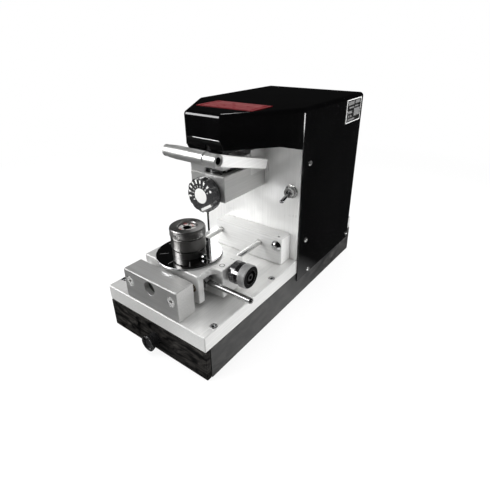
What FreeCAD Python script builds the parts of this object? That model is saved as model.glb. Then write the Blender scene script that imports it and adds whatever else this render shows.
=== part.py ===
"""Tubular-key duplicating machine with an indexing chuck and a lever-fed cutter.

Lengths are in millimetres. X runs to the right, Y from front to back, Z up.
Places along Y are written from the front face of the base plate. When a piece is
saved it is shifted so that the origin lies at the middle of the base's underside.
"""
import FreeCAD, Part
import math
import os
from FreeCAD import Vector

# Fits and small gaps
running_fit = 0.05
moving_gap = 0.6
edge_chamfer = 0.8

# Base box, its plate and the drawer
base_width = 152.4
base_length = 346.0
base_height = 38.7
base_wall = 10.0
base_floor = 2.0
plate_thickness = 19.05
drawer_front_thickness = 6.8
drawer_length = 165.0
drawer_wall = 2.0
drawer_height = 31.0
pull_height = 18.0
pull_head_radius = 9.3
pull_stem_radius = 7.6
pull_length = 12.4
pull_dish_depth = 1.6

# Socket screws, by thread radius
small_screw_radius = 2.0
medium_screw_radius = 2.5
head_to_thread = 1.75
socket_to_thread = 0.95
head_chamfer = 0.3
screw_seat_gap = 0.2
plate_screw_radius = 2.3
plate_screw_inset = 5.1
plate_screw_places = (19.2, 124.0, 300.0)
plate_screw_length = 26.0

# Rod blocks and guide rods
rod_block_width = 81.5
rod_block_height = 36.6
front_block_start = 0.8
front_block_depth = 24.2
rear_block_start = 154.7
rear_block_right = 64.5
rod_radius = 3.175
rod_spread = 31.8
rod_height = 23.3
rod_seat_front = 12.0
rod_seat_rear = 15.0
rod_screw_reach = 8.0
rod_screw_spread = 2.24
rod_relief = 1.3
sight_hole_radius = 8.2
sight_hole_height = 26.2
sight_hole_depth = 14.0
block_bolt_spread = 20.0
block_bolt_radius = 3.0
block_bolt_reach = 14.0
stop_place = 57.0
stop_height = 25.9
stop_head_radius = 7.3
stop_head_length = 5.0
stop_shank_radius = 4.0
stop_shank_length = 12.0
stop_screw_setback = 6.1

# Carriage that slides on the guide rods
carriage_start = 31.6
carriage_length = 59.7
carriage_width = 81.6
carriage_right = 53.8
carriage_step = 55.0
carriage_top = 39.75
carriage_bottom = 4.75
carriage_front_wall = 7.9
carriage_roof = 7.0
carriage_step_fillet = 7.0
bush_wall = 2.0
pointer_pin_radius = 2.4
pointer_pin_place = (46.5, 63.8)
pointer_pin_length = 8.0

# Work spindle, dial and chuck, turned about one upright axis
spindle_place = 61.8
spindle_radius = 9.0
drum_radius = 19.0
drum_gap = 1.0
drum_height = 14.0
notch_count = 8
dial_radius = 37.6
dial_thickness = 2.0
dial_lift = 0.4
spigot_radius = 10.0
spigot_height = 4.5
retainer_radius = 12.5
retainer_thickness = 2.0
chuck_radius = 19.4
chuck_neck_radius = 18.6
chuck_neck_height = 7.4
chuck_groove = 1.5
chuck_body_height = 16.0
chuck_thread_radius = 15.0
cap_radius = 20.0
cap_height = 9.2
cap_top_wall = 1.9
cap_mouth_radius = 10.4
cap_bevel = 1.0
key_bore_radius = 4.8
collet_radius = 9.7
collet_slot = 1.5
collet_slot_count = 3
lock_screw_radius = 2.6
lock_screw_length = 7.2
lock_screw_turn = -4.0

# Index plunger on the carriage's right face
plunger_place = 72.6
plunger_bush_gap = 0.525
plunger_radius = 3.0
plunger_travel = 4.0
plunger_housing_radius = 8.0
plunger_housing_length = 14.5
plunger_flange_radius = 12.8
plunger_flange_start = 4.2
plunger_knob_radius = 13.3
plunger_knob_length = 9.6
plunger_recess_radius = 7.7
plunger_recess_depth = 3.0
plunger_key_width = 3.0
plunger_key_reach = 7.6
plunger_key_turn = 32.0
plunger_spring_room = 13.0
plunger_spring_radius = 4.4
plunger_spring_wire = 0.5
plunger_spring_turns = 4
plunger_collar_length = 1.2

# Carriage clamp lever, which turns about the right-hand rod
clamp_ring_radius = 8.2
clamp_ring_length = 10.5
clamp_lever_radius = 3.1
clamp_lever_reach = 66.2

# Column behind the work space
panel_front = 176.4
panel_thickness = 6.35
panel_side_gap = 1.2
panel_height = 180.0
gusset_thickness = 4.5
gusset_depth = 32.0
belt_window_width = 52.0

# Bent-sheet cover
cover_sheet = 1.5
cover_fit = 0.2
cover_front = 175.5
cover_back = 338.0
cover_bottom = 27.4
cover_top = 248.6
bend_radius = 5.0
hood_front = 95.0
hood_front_width = 51.0
hood_shoulder = 174.0
hood_edge_front = 211.8
hood_edge_middle = 209.8
hood_edge_corner = 203.2
hood_edge_break = 150.2
lip_bend_height = 221.7
lip_lean = 3.2
lip_bottom = 207.4
lip_half_width = 25.3
lip_corner = 3.8
lip_notch_place = 4.3
lip_notch_radius = 4.2
lip_notch_height = 211.0
cover_screw_places = ((203.9, 32.6), (330.0, 33.6), (192.8, 82.2), (191.4, 184.3))
cover_screw_head_radius = 3.2
cover_screw_head_height = 2.2
cover_screw_length = 7.0
name_plate_centre = (3.0, 145.0)
name_plate_size = (78.0, 38.0)
rating_plate_centre = (304.5, 229.0)
rating_plate_size = (45.5, 29.6)
label_thickness = 0.6
inlet_place = 84.0
inlet_width = 48.0
inlet_height = 24.0
inlet_depth = 22.0
inlet_flange = 3.0
inlet_mouth_depth = 14.0
inlet_wall = 5.5
inlet_pin_radius = 1.6

# Cutting head
head_width = 49.6
head_front = 97.9
head_bottom = 152.1
head_top = 182.5
cutter_place = 114.0
quill_radius = 10.0
quill_length = 37.0
quill_overhang = 1.6
quill_groove_radius = 8.0
quill_groove_height = 4.2
quill_groove_top = 180.2
bearing_radius = 7.0
bearing_height = 5.0
arbor_radius = 4.0
arbor_tail_radius = 3.0
arbor_top = 211.0
cutter_radius = 0.9
cutter_tip = 141.5
cutter_web = 0.3
collet_nut_radius = 6.5
collet_nut_height = 4.2
yoke_well_floor = 165.5
yoke_well_front = 103.0
yoke_well_width = 34.4
head_bolt_margin = 4.6
head_bolt_spread = 19.8

# Feed lever and its yoke
pivot_place = 160.0
pivot_height = 184.0
pivot_radius = 4.0
arm_angle = 15.7
arm_width = 9.0
arm_height = 12.0
arm_tail = 6.5
grip_place = 80.0
arm_skin = 2.0
grip_hub_radius = 6.5
grip_hub_length = 16.5
grip_radius = 7.4
grip_length = 78.0
grip_taper_length = 10.0
grip_tip_radius = 6.8
grip_tip_step = 0.3
grip_tip_length = 8.6
grip_tip_round = 2.4
grip_socket_radius = 3.9
grip_socket_mouth = 1.2
grip_socket_depth = 8.0
lever_travel = 9.3
yoke_thickness = 4.0
yoke_prong = 3.4
yoke_pin_radius = 1.9
yoke_stem_width = 14.0
yoke_hub_radius = 7.5
yoke_web_start = 128.0
yoke_web_length = 6.0
spring_wire = 0.7
spring_turns = 4
spring_pitch = 2.2
spring_mean_radius = 6.2

# Blocks on top of the head
fulcrum_front = 146.5
fulcrum_floor = 172.0
fulcrum_top = 201.0
fulcrum_slot_width = 32.0
fulcrum_slot_back = 170.0
fulcrum_slot_top = 193.0
bridge_left = 23.5
bridge_bottom = 189.5
bridge_top = 197.5
bridge_leg_width = 20.0
bridge_leg_depth = 2.8
bridge_foot_length = 12.0
bridge_foot_width = 6.0
bridge_screw_reach = 22.0

# Depth dial
depth_height = 159.7
depth_face = 85.8
depth_radius = 20.1
depth_flange_radius = 19.6
depth_flange_thickness = 2.6
depth_flute_count = 12
depth_flute_radius = 6.0
depth_flute_depth = 1.5
depth_shaft_radius = 4.0
depth_pin_radius = 1.5
depth_pin_throw = 2.0
depth_pin_length = 2.4
depth_slot_half_width = 4.2

# Motor, pulleys and belt
motor_place = 262.0
motor_radius = 38.0
motor_height = 100.0
motor_bell_radius = 30.0
motor_bell_height = 9.0
motor_foot_size = 92.0
motor_foot_thickness = 8.0
motor_shaft_radius = 5.0
motor_wall = 6.0
rotor_radius = 24.0
rotor_length = 55.0
pulley_bottom = 198.5
pulley_height = 13.0
pulley_flange = 3.0
pulley_rim = 4.0
motor_pulley_groove = 18.0
spindle_pulley_groove = 10.5
pulley_sleeve_radius = 5.0
race_radius = 9.5
belt_thickness = 2.6
belt_gap = 0.4

# Toggle switch
switch_place = 63.3
switch_height = 150.9
switch_bush_radius = 6.0
switch_bush_length = 8.0
switch_body_width = 13.0
switch_body_height = 28.0
switch_body_depth = 20.0
switch_nut_radius = 8.1
switch_nut_thickness = 2.4
switch_washer_radius = 8.6
switch_washer_thickness = 0.8
switch_tilt = 19.0
bat_length = 18.5
bat_root_radius = 1.7
bat_tip_radius = 2.5
bat_ball_radius = 3.2
bat_ball_room = 0.5
bat_pin_radius = 0.9

# Places worked out from the sizes above
half_width = base_width / 2
plate_top = base_height + plate_thickness
front_block_back = front_block_start + front_block_depth
rod_z = plate_top + rod_height
block_top = plate_top + rod_block_height
carriage_low = plate_top + carriage_bottom
carriage_high = plate_top + carriage_top
carriage_back = carriage_start + carriage_length
channel_front = carriage_start + carriage_front_wall
channel_roof = carriage_high - carriage_roof
bush_radius = rod_radius + bush_wall
dial_low = carriage_high + dial_lift
dial_high = dial_low + dial_thickness
drum_low = dial_low - drum_height
chuck_shoulder = dial_high + chuck_neck_height
chuck_high = chuck_shoulder + chuck_body_height
cap_low = chuck_high + moving_gap
cap_high = cap_low + cap_height
plunger_z = rod_z + bush_radius + plunger_bush_gap + plunger_radius
drum_edge = math.sqrt(drum_radius ** 2 - (plunger_place - plunger_radius - spindle_place) ** 2)
plunger_tip = drum_edge + moving_gap
notch_bottom = plunger_tip - plunger_travel - moving_gap
plunger_spring_start = carriage_right - plunger_spring_room
plunger_collar_end = plunger_spring_start + moving_gap + plunger_travel + plunger_collar_length
plunger_knob_start = carriage_right + plunger_housing_length + moving_gap
plunger_flange_end = carriage_right + plunger_housing_length - plunger_travel
panel_width = base_width - 2 * panel_side_gap
panel_back = panel_front + panel_thickness
cover_inside = half_width + cover_fit
cover_outside = cover_inside + cover_sheet
quill_bottom = head_bottom - quill_overhang
quill_travel = (pivot_place - cutter_place) * math.tan(math.radians(lever_travel))
quill_top = quill_bottom + quill_length
arm_inside = head_width / 2 + moving_gap
arm_outside = arm_inside + arm_width
yoke_bottom = quill_groove_top - quill_groove_height / 2 - yoke_thickness / 2
yoke_outside = yoke_well_width / 2 - moving_gap
pulley_top = pulley_bottom + pulley_height
belt_low = pulley_bottom + pulley_flange + belt_gap
belt_high = pulley_top - pulley_flange - belt_gap
motor_foot_top = plate_top + motor_foot_thickness
motor_top = motor_foot_top + motor_height
motor_floor = motor_foot_top + motor_wall
switch_bush_end = panel_front - switch_bush_length
x_axis = Vector(1, 0, 0)
y_axis = Vector(0, 1, 0)
z_axis = Vector(0, 0, 1)


def block(x0, x1, y0, y1, z0, z1):
    """A box between opposite corners."""
    return Part.makeBox(x1 - x0, y1 - y0, z1 - z0, Vector(x0, y0, z0))


def eased(shape, size=edge_chamfer):
    """The same solid with every edge chamfered."""
    return shape.makeChamfer(size, shape.Edges)


def round_x(radius, y, z, x0, x1):
    return Part.makeCylinder(radius, x1 - x0, Vector(x0, y, z), x_axis)


def round_y(radius, x, z, y0, y1):
    return Part.makeCylinder(radius, y1 - y0, Vector(x, y0, z), y_axis)


def round_z(radius, x, y, z0, z1):
    return Part.makeCylinder(radius, z1 - z0, Vector(x, y, z0), z_axis)


def joined(*shapes):
    """One clean solid made of shapes that touch."""
    return shapes[0].multiFuse(list(shapes[1:])).removeSplitter()


def turned(profile, base, axis):
    """A solid of revolution. The profile is a closed run of (radius, height)."""
    points = [Vector(radius, 0, height) for radius, height in profile]
    face = Part.Face(Part.makePolygon(points + points[:1]))
    solid = face.revolve(Vector(0, 0, 0), z_axis, 360)
    solid.Placement = FreeCAD.Placement(base, FreeCAD.Rotation(z_axis, axis))
    return solid


def side_slab(points, x0, x1):
    """A slab whose outline is given as (y, z) points."""
    outline = [Vector(x0, y, z) for y, z in points]
    face = Part.Face(Part.makePolygon(outline + outline[:1]))
    return face.extrude(Vector(x1 - x0, 0, 0))


def plan_slab(points, z0, z1):
    """A slab whose outline is given as (x, y) points."""
    outline = [Vector(x, y, z0) for x, y in points]
    face = Part.Face(Part.makePolygon(outline + outline[:1]))
    return face.extrude(Vector(0, 0, z1 - z0))


def socket_screw(radius, length, head_place, axis, spread=head_to_thread):
    """A cap screw whose head's top face is at head_place and whose shank runs along axis."""
    head = spread * radius
    profile = [(0, 0), (head - head_chamfer, 0), (head, head_chamfer), (head, 2 * radius)]
    profile += [(radius, 2 * radius), (radius, 2 * radius + length), (0, 2 * radius + length)]
    return turned(profile, head_place, axis).cut(hex_socket(radius, head_place, axis))


def hex_socket(radius, place, axis):
    """The six-sided hole in the head of a screw of this thread radius."""
    corner = socket_to_thread * radius
    points = [Vector(corner * math.cos(math.pi * side / 3), corner * math.sin(math.pi * side / 3), 0)
              for side in range(6)]
    hole = Part.Face(Part.makePolygon(points + points[:1])).extrude(radius * z_axis)
    hole.Placement = FreeCAD.Placement(place, FreeCAD.Rotation(z_axis, axis))
    return hole


def screw_seat(radius, length, head_place, axis, spread=head_to_thread):
    """The stepped hole that a cap screw sits in, open above its head."""
    head = spread * radius + screw_seat_gap
    above = -4 * radius
    profile = [(0, above), (head, above), (head, 2 * radius), (radius, 2 * radius)]
    profile += [(radius, 2 * radius + length), (0, 2 * radius + length)]
    return turned(profile, head_place, axis)


def coil(mean_radius, wire_radius, turns, pitch, base, axis):
    """A helical spring of quarter-turn arcs. Prints the least gap between its turns."""
    def point(turn):
        angle = 2 * math.pi * turn
        return Vector(mean_radius * math.cos(angle), mean_radius * math.sin(angle), pitch * turn)

    edges = []
    for quarter in range(4 * turns):
        start = quarter / 4
        arc = Part.Arc(point(start), point(start + 0.125), point(start + 0.25))
        edges.append(arc.toShape())
    path = Part.Wire(edges)
    heading = Vector(0, 2 * math.pi * mean_radius, pitch)
    section = Part.Wire([Part.makeCircle(wire_radius, point(0), heading)])
    solid = path.makePipeShell([section], True, False)
    solid.Placement = FreeCAD.Placement(base, FreeCAD.Rotation(z_axis, axis))
    print("coil gap", round(pitch - 2 * wire_radius, 2))
    return solid


def base_frame():
    start = drawer_front_thickness + moving_gap
    shell = block(-half_width, half_width, start, base_length, 0, base_height)
    inner = half_width - base_wall
    cavity = block(-inner, inner, start, base_length - base_wall, base_floor, base_height)
    seats = [plate_screw(x, y, screw_seat) for x, y in plate_screw_grid()]
    sides = [cover_screw(side, place) for side in (-1, 1) for place in cover_screw_places[:2]]
    return shell.cut([cavity] + seats + sides)


def plate_screw_grid():
    """Centres of the screws that hold the plate on the base."""
    inset = half_width - plate_screw_inset
    return [(side * inset, place) for place in plate_screw_places for side in (-1, 1)]


def plate_screw(x, y, maker):
    place = Vector(x, y, plate_top - screw_seat_gap)
    return maker(plate_screw_radius, plate_screw_length, place, -z_axis)


def base_plate():
    slab = eased(block(-half_width, half_width, 0, base_length, base_height, plate_top))
    seats = [plate_screw(x, y, screw_seat) for x, y in plate_screw_grid()]
    bolts = [block_bolt(x, y, screw_seat) for x, y in block_bolt_grid()]
    return slab.cut(seats + bolts)


def plate_screws():
    return Part.makeCompound([plate_screw(x, y, socket_screw) for x, y in plate_screw_grid()])


def drawer_tray():
    half = half_width - base_wall - moving_gap
    low = base_floor + moving_gap
    back = drawer_front_thickness + drawer_length
    tray = block(-half, half, drawer_front_thickness, back, low, low + drawer_height)
    half_inside = half - drawer_wall
    start = drawer_front_thickness + drawer_wall
    hollow = block(-half_inside, half_inside, start, back - drawer_wall, low + drawer_wall, base_height)
    return tray.cut(hollow)


def drawer_front():
    high = base_height - moving_gap
    panel = block(-half_width, half_width, 0, drawer_front_thickness, moving_gap, high)
    return eased(panel)


def drawer_pull():
    rim = pull_length - pull_dish_depth
    dish = pull_head_radius - pull_dish_depth
    profile = [(0, 0), (pull_stem_radius, 0), (pull_stem_radius, rim / 2)]
    profile += [(pull_head_radius, rim), (pull_head_radius, pull_length), (dish, pull_length)]
    profile += [(dish, rim), (0, rim)]
    return turned(profile, Vector(0, 0, pull_height), -y_axis)


def block_bolt_grid():
    """Centres of the bolts that hold the two rod blocks from below."""
    front = front_block_start + front_block_depth / 2
    rear = (rear_block_start + panel_front) / 2
    return [(side * block_bolt_spread, place) for place in (front, rear) for side in (-1, 1)]


def block_bolt(x, y, maker):
    length = plate_thickness - 2 * block_bolt_radius + block_bolt_reach
    return maker(block_bolt_radius, length, Vector(x, y, base_height), z_axis)


def rod_screw(side, maker):
    length = rod_seat_front - 2 * medium_screw_radius - screw_seat_gap + rod_screw_reach
    place = Vector(side * rod_spread, front_block_start + screw_seat_gap, rod_z)
    return maker(medium_screw_radius, length, place, y_axis, rod_screw_spread)


def front_rod_block():
    half = rod_block_width / 2
    body = eased(block(-half, half, front_block_start, front_block_back, plate_top, block_top))
    seat = front_block_start + rod_seat_front
    rods = [round_y(rod_radius, side * rod_spread, rod_z, seat, front_block_back) for side in (-1, 1)]
    screws = [rod_screw(side, screw_seat) for side in (-1, 1)]
    bottom = front_block_start + sight_hole_depth
    sight = round_y(sight_hole_radius, 0, plate_top + sight_hole_height, front_block_start, bottom)
    bolts = [block_bolt(x, y, screw_seat) for x, y in block_bolt_grid()[:2]]
    return body.cut(rods + screws + [sight] + bolts)


def rear_rod_block():
    left = -rod_block_width / 2
    body = eased(block(left, rear_block_right, rear_block_start, panel_front, plate_top, block_top))
    seat = rear_block_start + rod_seat_rear
    rods = [round_y(rod_radius, side * rod_spread, rod_z, rear_block_start, seat) for side in (-1, 1)]
    relief = rear_block_start + rod_relief
    rods += [round_y(rod_radius + rod_relief, side * rod_spread, rod_z, rear_block_start, relief)
             for side in (-1, 1)]
    bolts = [block_bolt(x, y, screw_seat) for x, y in block_bolt_grid()[2:]]
    z = plate_top + stop_height
    stop_end = rear_block_start + stop_shank_length
    stop = round_y(stop_shank_radius, stop_place, z, rear_block_start, stop_end)
    y = rear_block_start + stop_screw_setback
    hole = round_z(small_screw_radius, stop_place, y, z, block_top)
    return body.cut(rods + bolts + [stop, hole])


def guide_rods():
    start = front_block_start + rod_seat_front
    end = rear_block_start + rod_seat_rear
    screws = [rod_screw(side, screw_seat) for side in (-1, 1)]
    rods = [round_y(rod_radius, side * rod_spread, rod_z, start, end).cut(screws) for side in (-1, 1)]
    return Part.makeCompound(rods)


def stop_button():
    z = plate_top + stop_height
    shank_end = rear_block_start + stop_shank_length
    shank = round_y(stop_shank_radius, stop_place, z, rear_block_start, shank_end)
    ball = (stop_head_radius ** 2 + stop_head_length ** 2) / (2 * stop_head_length)
    centre = Vector(stop_place, rear_block_start - stop_head_length + ball, z)
    front = rear_block_start - stop_head_length
    dome = Part.makeSphere(ball, centre)
    dome = dome.common(round_y(stop_head_radius, stop_place, z, front, rear_block_start))
    return joined(shank, dome)


def stop_screw():
    y = rear_block_start + stop_screw_setback
    low = plate_top + stop_height + stop_shank_radius
    return round_z(small_screw_radius, stop_place, y, low, block_top - edge_chamfer)


def carriage_block():
    half = carriage_width / 2
    points = [(-half, carriage_start), (half, carriage_start), (half, carriage_step)]
    points += [(carriage_right, carriage_step), (carriage_right, carriage_back), (-half, carriage_back)]
    body = plan_slab(points, carriage_low, carriage_high)
    inner = [edge for edge in body.Edges if is_upright(edge, half, carriage_step)]
    body = body.makeFillet(carriage_step_fillet, inner)
    body = eased(body)
    channel = block(-half, carriage_right, channel_front, carriage_step, carriage_low, channel_roof)
    bores = [round_y(bush_radius, side * rod_spread, rod_z, carriage_start, carriage_back)
             for side in (-1, 1)]
    shaft = round_z(spindle_radius + running_fit, 0, spindle_place, carriage_low, carriage_high)
    pocket_low = drum_low - drum_gap
    pocket = round_z(drum_radius + drum_gap, 0, spindle_place, pocket_low, carriage_high)
    pin = round_x(plunger_radius + running_fit, plunger_place, plunger_z, 0, carriage_right)
    spring_bore = plunger_spring_radius + 2 * plunger_spring_wire
    spring = round_x(spring_bore, plunger_place, plunger_z, plunger_spring_start, carriage_right)
    return body.cut([channel, shaft, pocket, pin, spring, pointer_pin()] + bores)


def is_upright(edge, x, y):
    """True for the upright edge at one place in plan."""
    middle = edge.CenterOfMass
    return math.hypot(middle.x - x, middle.y - y) < running_fit


def guide_bushes():
    spans = ((carriage_start, channel_front), (carriage_step, carriage_back))
    bushes = []
    for side in (-1, 1):
        x = side * rod_spread
        for start, end in spans:
            tube = round_y(bush_radius, x, rod_z, start, end)
            bushes.append(tube.cut(round_y(rod_radius + running_fit, x, rod_z, start, end)))
    return Part.makeCompound(bushes)


def pointer_pin():
    x, y = pointer_pin_place
    return round_z(pointer_pin_radius, x, y, carriage_high - pointer_pin_length, carriage_high)


def clamp_span():
    """Where the clamp ring lies along its rod, at the back of the carriage's channel."""
    end = carriage_step - moving_gap
    return end - clamp_ring_length, end


def clamp_ring():
    start, end = clamp_span()
    ring = round_y(clamp_ring_radius, rod_spread, rod_z, start, end)
    bore = round_y(rod_radius + running_fit, rod_spread, rod_z, start, end)
    seat = round_x(clamp_lever_radius, (start + end) / 2, rod_z, rod_spread + bush_radius,
                   rod_spread + clamp_ring_radius)
    return ring.cut([bore, seat])


def clamp_lever():
    start, end = clamp_span()
    y = (start + end) / 2
    tip = rod_spread + clamp_lever_reach
    rod = round_x(clamp_lever_radius, y, rod_z, rod_spread + bush_radius, tip - clamp_lever_radius)
    ball = Part.makeSphere(clamp_lever_radius, Vector(tip - clamp_lever_radius, y, rod_z))
    return joined(rod, ball)


def work_spindle():
    foot = carriage_low - moving_gap - retainer_thickness
    top = dial_high + spigot_height
    profile = [(0, foot), (spindle_radius, foot), (spindle_radius, drum_low), (drum_radius, drum_low)]
    profile += [(drum_radius, dial_low), (spigot_radius, dial_low), (spigot_radius, top), (0, top)]
    body = turned(profile, Vector(0, spindle_place, 0), z_axis)
    half = plunger_radius + 2 * running_fit
    slot = block(notch_bottom, 2 * drum_radius, plunger_place - half, plunger_place + half,
                 plunger_z - half, plunger_z + half)
    notches = []
    for index in range(notch_count):
        notch = slot.copy()
        notch.rotate(Vector(0, spindle_place, 0), z_axis, 360 * index / notch_count)
        notches.append(notch)
    return body.cut(notches)


def spindle_retainer():
    high = carriage_low - moving_gap
    low = high - retainer_thickness
    ring = round_z(retainer_radius, 0, spindle_place, low, high)
    return ring.cut(round_z(spindle_radius, 0, spindle_place, low, high))


def dial_disc():
    disc = round_z(dial_radius, 0, spindle_place, dial_low, dial_high)
    rim = [edge for edge in disc.Edges if edge.Closed]
    disc = disc.makeChamfer(dial_thickness / 4, rim)
    return disc.cut(round_z(spigot_radius, 0, spindle_place, dial_low, dial_high))


def chuck_body():
    groove_top = chuck_shoulder + chuck_groove
    groove = chuck_neck_radius - chuck_groove
    seat = dial_high + spigot_height
    thread_top = cap_high - cap_top_wall - moving_gap
    bevel = chuck_groove / 2
    profile = [(spigot_radius, dial_high), (chuck_neck_radius, dial_high)]
    profile += [(chuck_neck_radius, chuck_shoulder), (groove, chuck_shoulder), (groove, groove_top)]
    profile += [(chuck_radius - bevel, groove_top), (chuck_radius, groove_top + bevel)]
    profile += [(chuck_radius, chuck_high - bevel), (chuck_radius - bevel, chuck_high)]
    profile += [(chuck_thread_radius, chuck_high), (chuck_thread_radius, thread_top)]
    profile += [(collet_radius, thread_top), (collet_radius, seat), (spigot_radius, seat)]
    body = turned(profile, Vector(0, spindle_place, 0), z_axis)
    return body.cut(lock_screw())


def lock_screw():
    """The radial screw in the chuck's neck."""
    start = spigot_radius
    z = dial_high + lock_screw_radius + head_chamfer
    length = chuck_neck_radius - spigot_radius + lock_screw_length
    tip = start + length
    rim = lock_screw_radius - head_chamfer
    profile = [(0, start), (lock_screw_radius, start), (lock_screw_radius, tip - head_chamfer), (rim, tip)]
    turn = math.radians(lock_screw_turn)
    outward = Vector(math.cos(turn), math.sin(turn), 0)
    axis_place = Vector(0, spindle_place, z)
    screw = turned(profile + [(0, tip)], axis_place, outward)
    return screw.cut(hex_socket(lock_screw_radius, axis_place + tip * outward, -outward))


def chuck_collet():
    low = dial_high + spigot_height
    high = cap_high - cap_top_wall - moving_gap
    ring = round_z(collet_radius, 0, spindle_place, low, high)
    bore = round_z(key_bore_radius, 0, spindle_place, low, high)
    half = collet_slot / 2
    slots = []
    for index in range(collet_slot_count):
        slot = block(0, collet_radius + half, spindle_place - half, spindle_place + half,
                     (low + high) / 2, high)
        slot.rotate(Vector(0, spindle_place, 0), z_axis, 360 * index / collet_slot_count)
        slots.append(slot)
    return ring.cut([bore] + slots)


def chuck_cap():
    inside = chuck_thread_radius + running_fit
    ceiling = cap_high - cap_top_wall
    profile = [(inside, cap_low), (cap_radius, cap_low), (cap_radius, cap_high - cap_bevel)]
    profile += [(cap_radius - cap_bevel, cap_high), (cap_mouth_radius + cap_bevel, cap_high)]
    profile += [(cap_mouth_radius, cap_high - cap_bevel), (cap_mouth_radius, ceiling), (inside, ceiling)]
    return turned(profile, Vector(0, spindle_place, 0), z_axis)


def plunger_housing():
    end = carriage_right + plunger_housing_length
    tube = round_x(plunger_housing_radius, plunger_place, plunger_z, carriage_right, end)
    flange = round_x(plunger_flange_radius, plunger_place, plunger_z,
                     carriage_right + plunger_flange_start, plunger_flange_end)
    bore = round_x(plunger_radius + running_fit, plunger_place, plunger_z, carriage_right, end)
    keyway = plunger_key(carriage_right, moving_gap / 2)
    return joined(tube, flange).cut([bore, keyway])


def plunger_key(start, room):
    """The key bar that runs in the flange, or the keyway round it when room is given."""
    half = plunger_key_width / 2 + room
    low = plunger_flange_radius - plunger_key_width - room
    key = block(start, plunger_knob_start, plunger_place - half, plunger_place + half, plunger_z + low,
                plunger_z + plunger_flange_radius + room)
    key.rotate(Vector(0, plunger_place, plunger_z), x_axis, 90 - plunger_key_turn)
    return key


def plunger_pin():
    end = plunger_knob_start + plunger_knob_length - plunger_recess_depth
    rod = round_x(plunger_radius, plunger_place, plunger_z, plunger_tip, end)
    collar = round_x(plunger_spring_radius, plunger_place, plunger_z,
                     plunger_collar_end - plunger_collar_length, plunger_collar_end)
    key = plunger_key(plunger_knob_start - plunger_key_reach, 0)
    return Part.makeCompound([joined(rod, collar), key])


def plunger_knob():
    end = plunger_knob_start + plunger_knob_length
    floor = end - plunger_recess_depth
    travel_start = plunger_knob_start + plunger_travel
    bore = plunger_housing_radius + 2 * running_fit
    profile = [(plunger_radius, travel_start), (bore, travel_start), (bore, plunger_knob_start)]
    rim = plunger_knob_radius - edge_chamfer
    profile += [(rim, plunger_knob_start), (plunger_knob_radius, plunger_knob_start + edge_chamfer)]
    profile += [(plunger_knob_radius, end - edge_chamfer), (rim, end), (plunger_recess_radius, end)]
    profile += [(plunger_recess_radius, floor), (plunger_radius, floor)]
    return turned(profile, Vector(0, plunger_place, plunger_z), x_axis)


def plunger_spring():
    start = plunger_collar_end + plunger_spring_wire
    end = carriage_right - plunger_spring_wire
    pitch = (end - start) / plunger_spring_turns
    base = Vector(start, plunger_place, plunger_z)
    return coil(plunger_spring_radius, plunger_spring_wire, plunger_spring_turns, pitch, base, x_axis)


def column_panel():
    half = panel_width / 2
    panel = block(-half, half, panel_front, panel_back, plate_top, plate_top + panel_height)
    window = block(-belt_window_width / 2, belt_window_width / 2, panel_front, panel_back,
                   fulcrum_top, plate_top + panel_height)
    hole = round_y(switch_bush_radius, switch_place, switch_height, panel_front, panel_back)
    bolts = [head_bolt(x, z, screw_seat) for x, z in head_bolt_grid()]
    return panel.cut([window, hole] + bolts)


def gusset_plates():
    out = panel_width / 2
    plates = []
    for side in (-1, 1):
        edges = sorted((side * (out - gusset_thickness), side * out))
        plate = block(edges[0], edges[1], panel_back, panel_back + gusset_depth, plate_top,
                      plate_top + panel_height)
        screws = [cover_screw(side, place) for place in cover_screw_places[2:]]
        plates.append(plate.cut(screws))
    return Part.makeCompound(plates)


def hood_outline():
    """The cover in plan: a narrow front that widens to the column's full width."""
    front = hood_front_width / 2
    right = [(front, hood_front), (cover_outside, hood_shoulder), (cover_outside, cover_back)]
    return right + [(-x, y) for x, y in reversed(right)]


def hood_solid(inset):
    """The cover's outer form, or its inner form when inset by the sheet."""
    outline = [Vector(x, y, cover_bottom) for x, y in hood_outline()]
    wire = Part.makePolygon(outline + outline[:1])
    if inset:
        wire = wire.makeOffset2D(-inset, 2)
    prism = Part.Face(wire).extrude(Vector(0, 0, cover_top - inset - cover_bottom))
    bends = [edge for edge in prism.Edges if edge.BoundBox.ZMax > cover_bottom + bend_radius]
    prism = prism.makeFillet(bend_radius - inset, bends)
    front = hood_front + inset
    lip = [(front, lip_bend_height), (front + lip_lean, hood_edge_corner), (0, hood_edge_corner),
           (0, lip_bend_height)]
    return prism.cut(side_slab(lip, -cover_outside, cover_outside))


def hood_cover():
    shell = hood_solid(0).cut(hood_solid(cover_sheet))
    throat = [(0, 0), (0, hood_edge_front), (hood_front, hood_edge_front)]
    throat += [(hood_edge_break, hood_edge_middle), (cover_front, hood_edge_corner), (cover_front, 0)]
    open_front = side_slab(throat, -2 * cover_outside, 2 * cover_outside).cut(lip_tongue())
    tail = block(-cover_inside, cover_inside, cover_back - 2 * bend_radius, base_length, 0,
                 plate_top + cover_fit)
    screws = [cover_screw(side, place) for side in (-1, 1) for place in cover_screw_places]
    mouth = inlet_envelope()
    return shell.cut([open_front, lip_notch(), tail, mouth] + screws)


def lip_tongue():
    """The front lip, which hangs lower than the cover's side edges and has rounded corners."""
    tongue = block(-lip_half_width, lip_half_width, 0, hood_front + bend_radius, lip_bottom, lip_bend_height)
    corners = [edge for edge in tongue.Edges
               if edge.BoundBox.YLength > bend_radius and edge.BoundBox.ZMax < lip_bend_height]
    return tongue.makeFillet(lip_corner, corners)


def lip_notch():
    """The small arch near the middle of the lip, in front of the cutter's pulley."""
    depth = hood_front + bend_radius
    arch = round_y(lip_notch_radius, lip_notch_place, lip_notch_height, 0, depth)
    left = lip_notch_place - lip_notch_radius
    right = lip_notch_place + lip_notch_radius
    return arch.fuse(block(left, right, 0, depth, 0, lip_notch_height))


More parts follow.
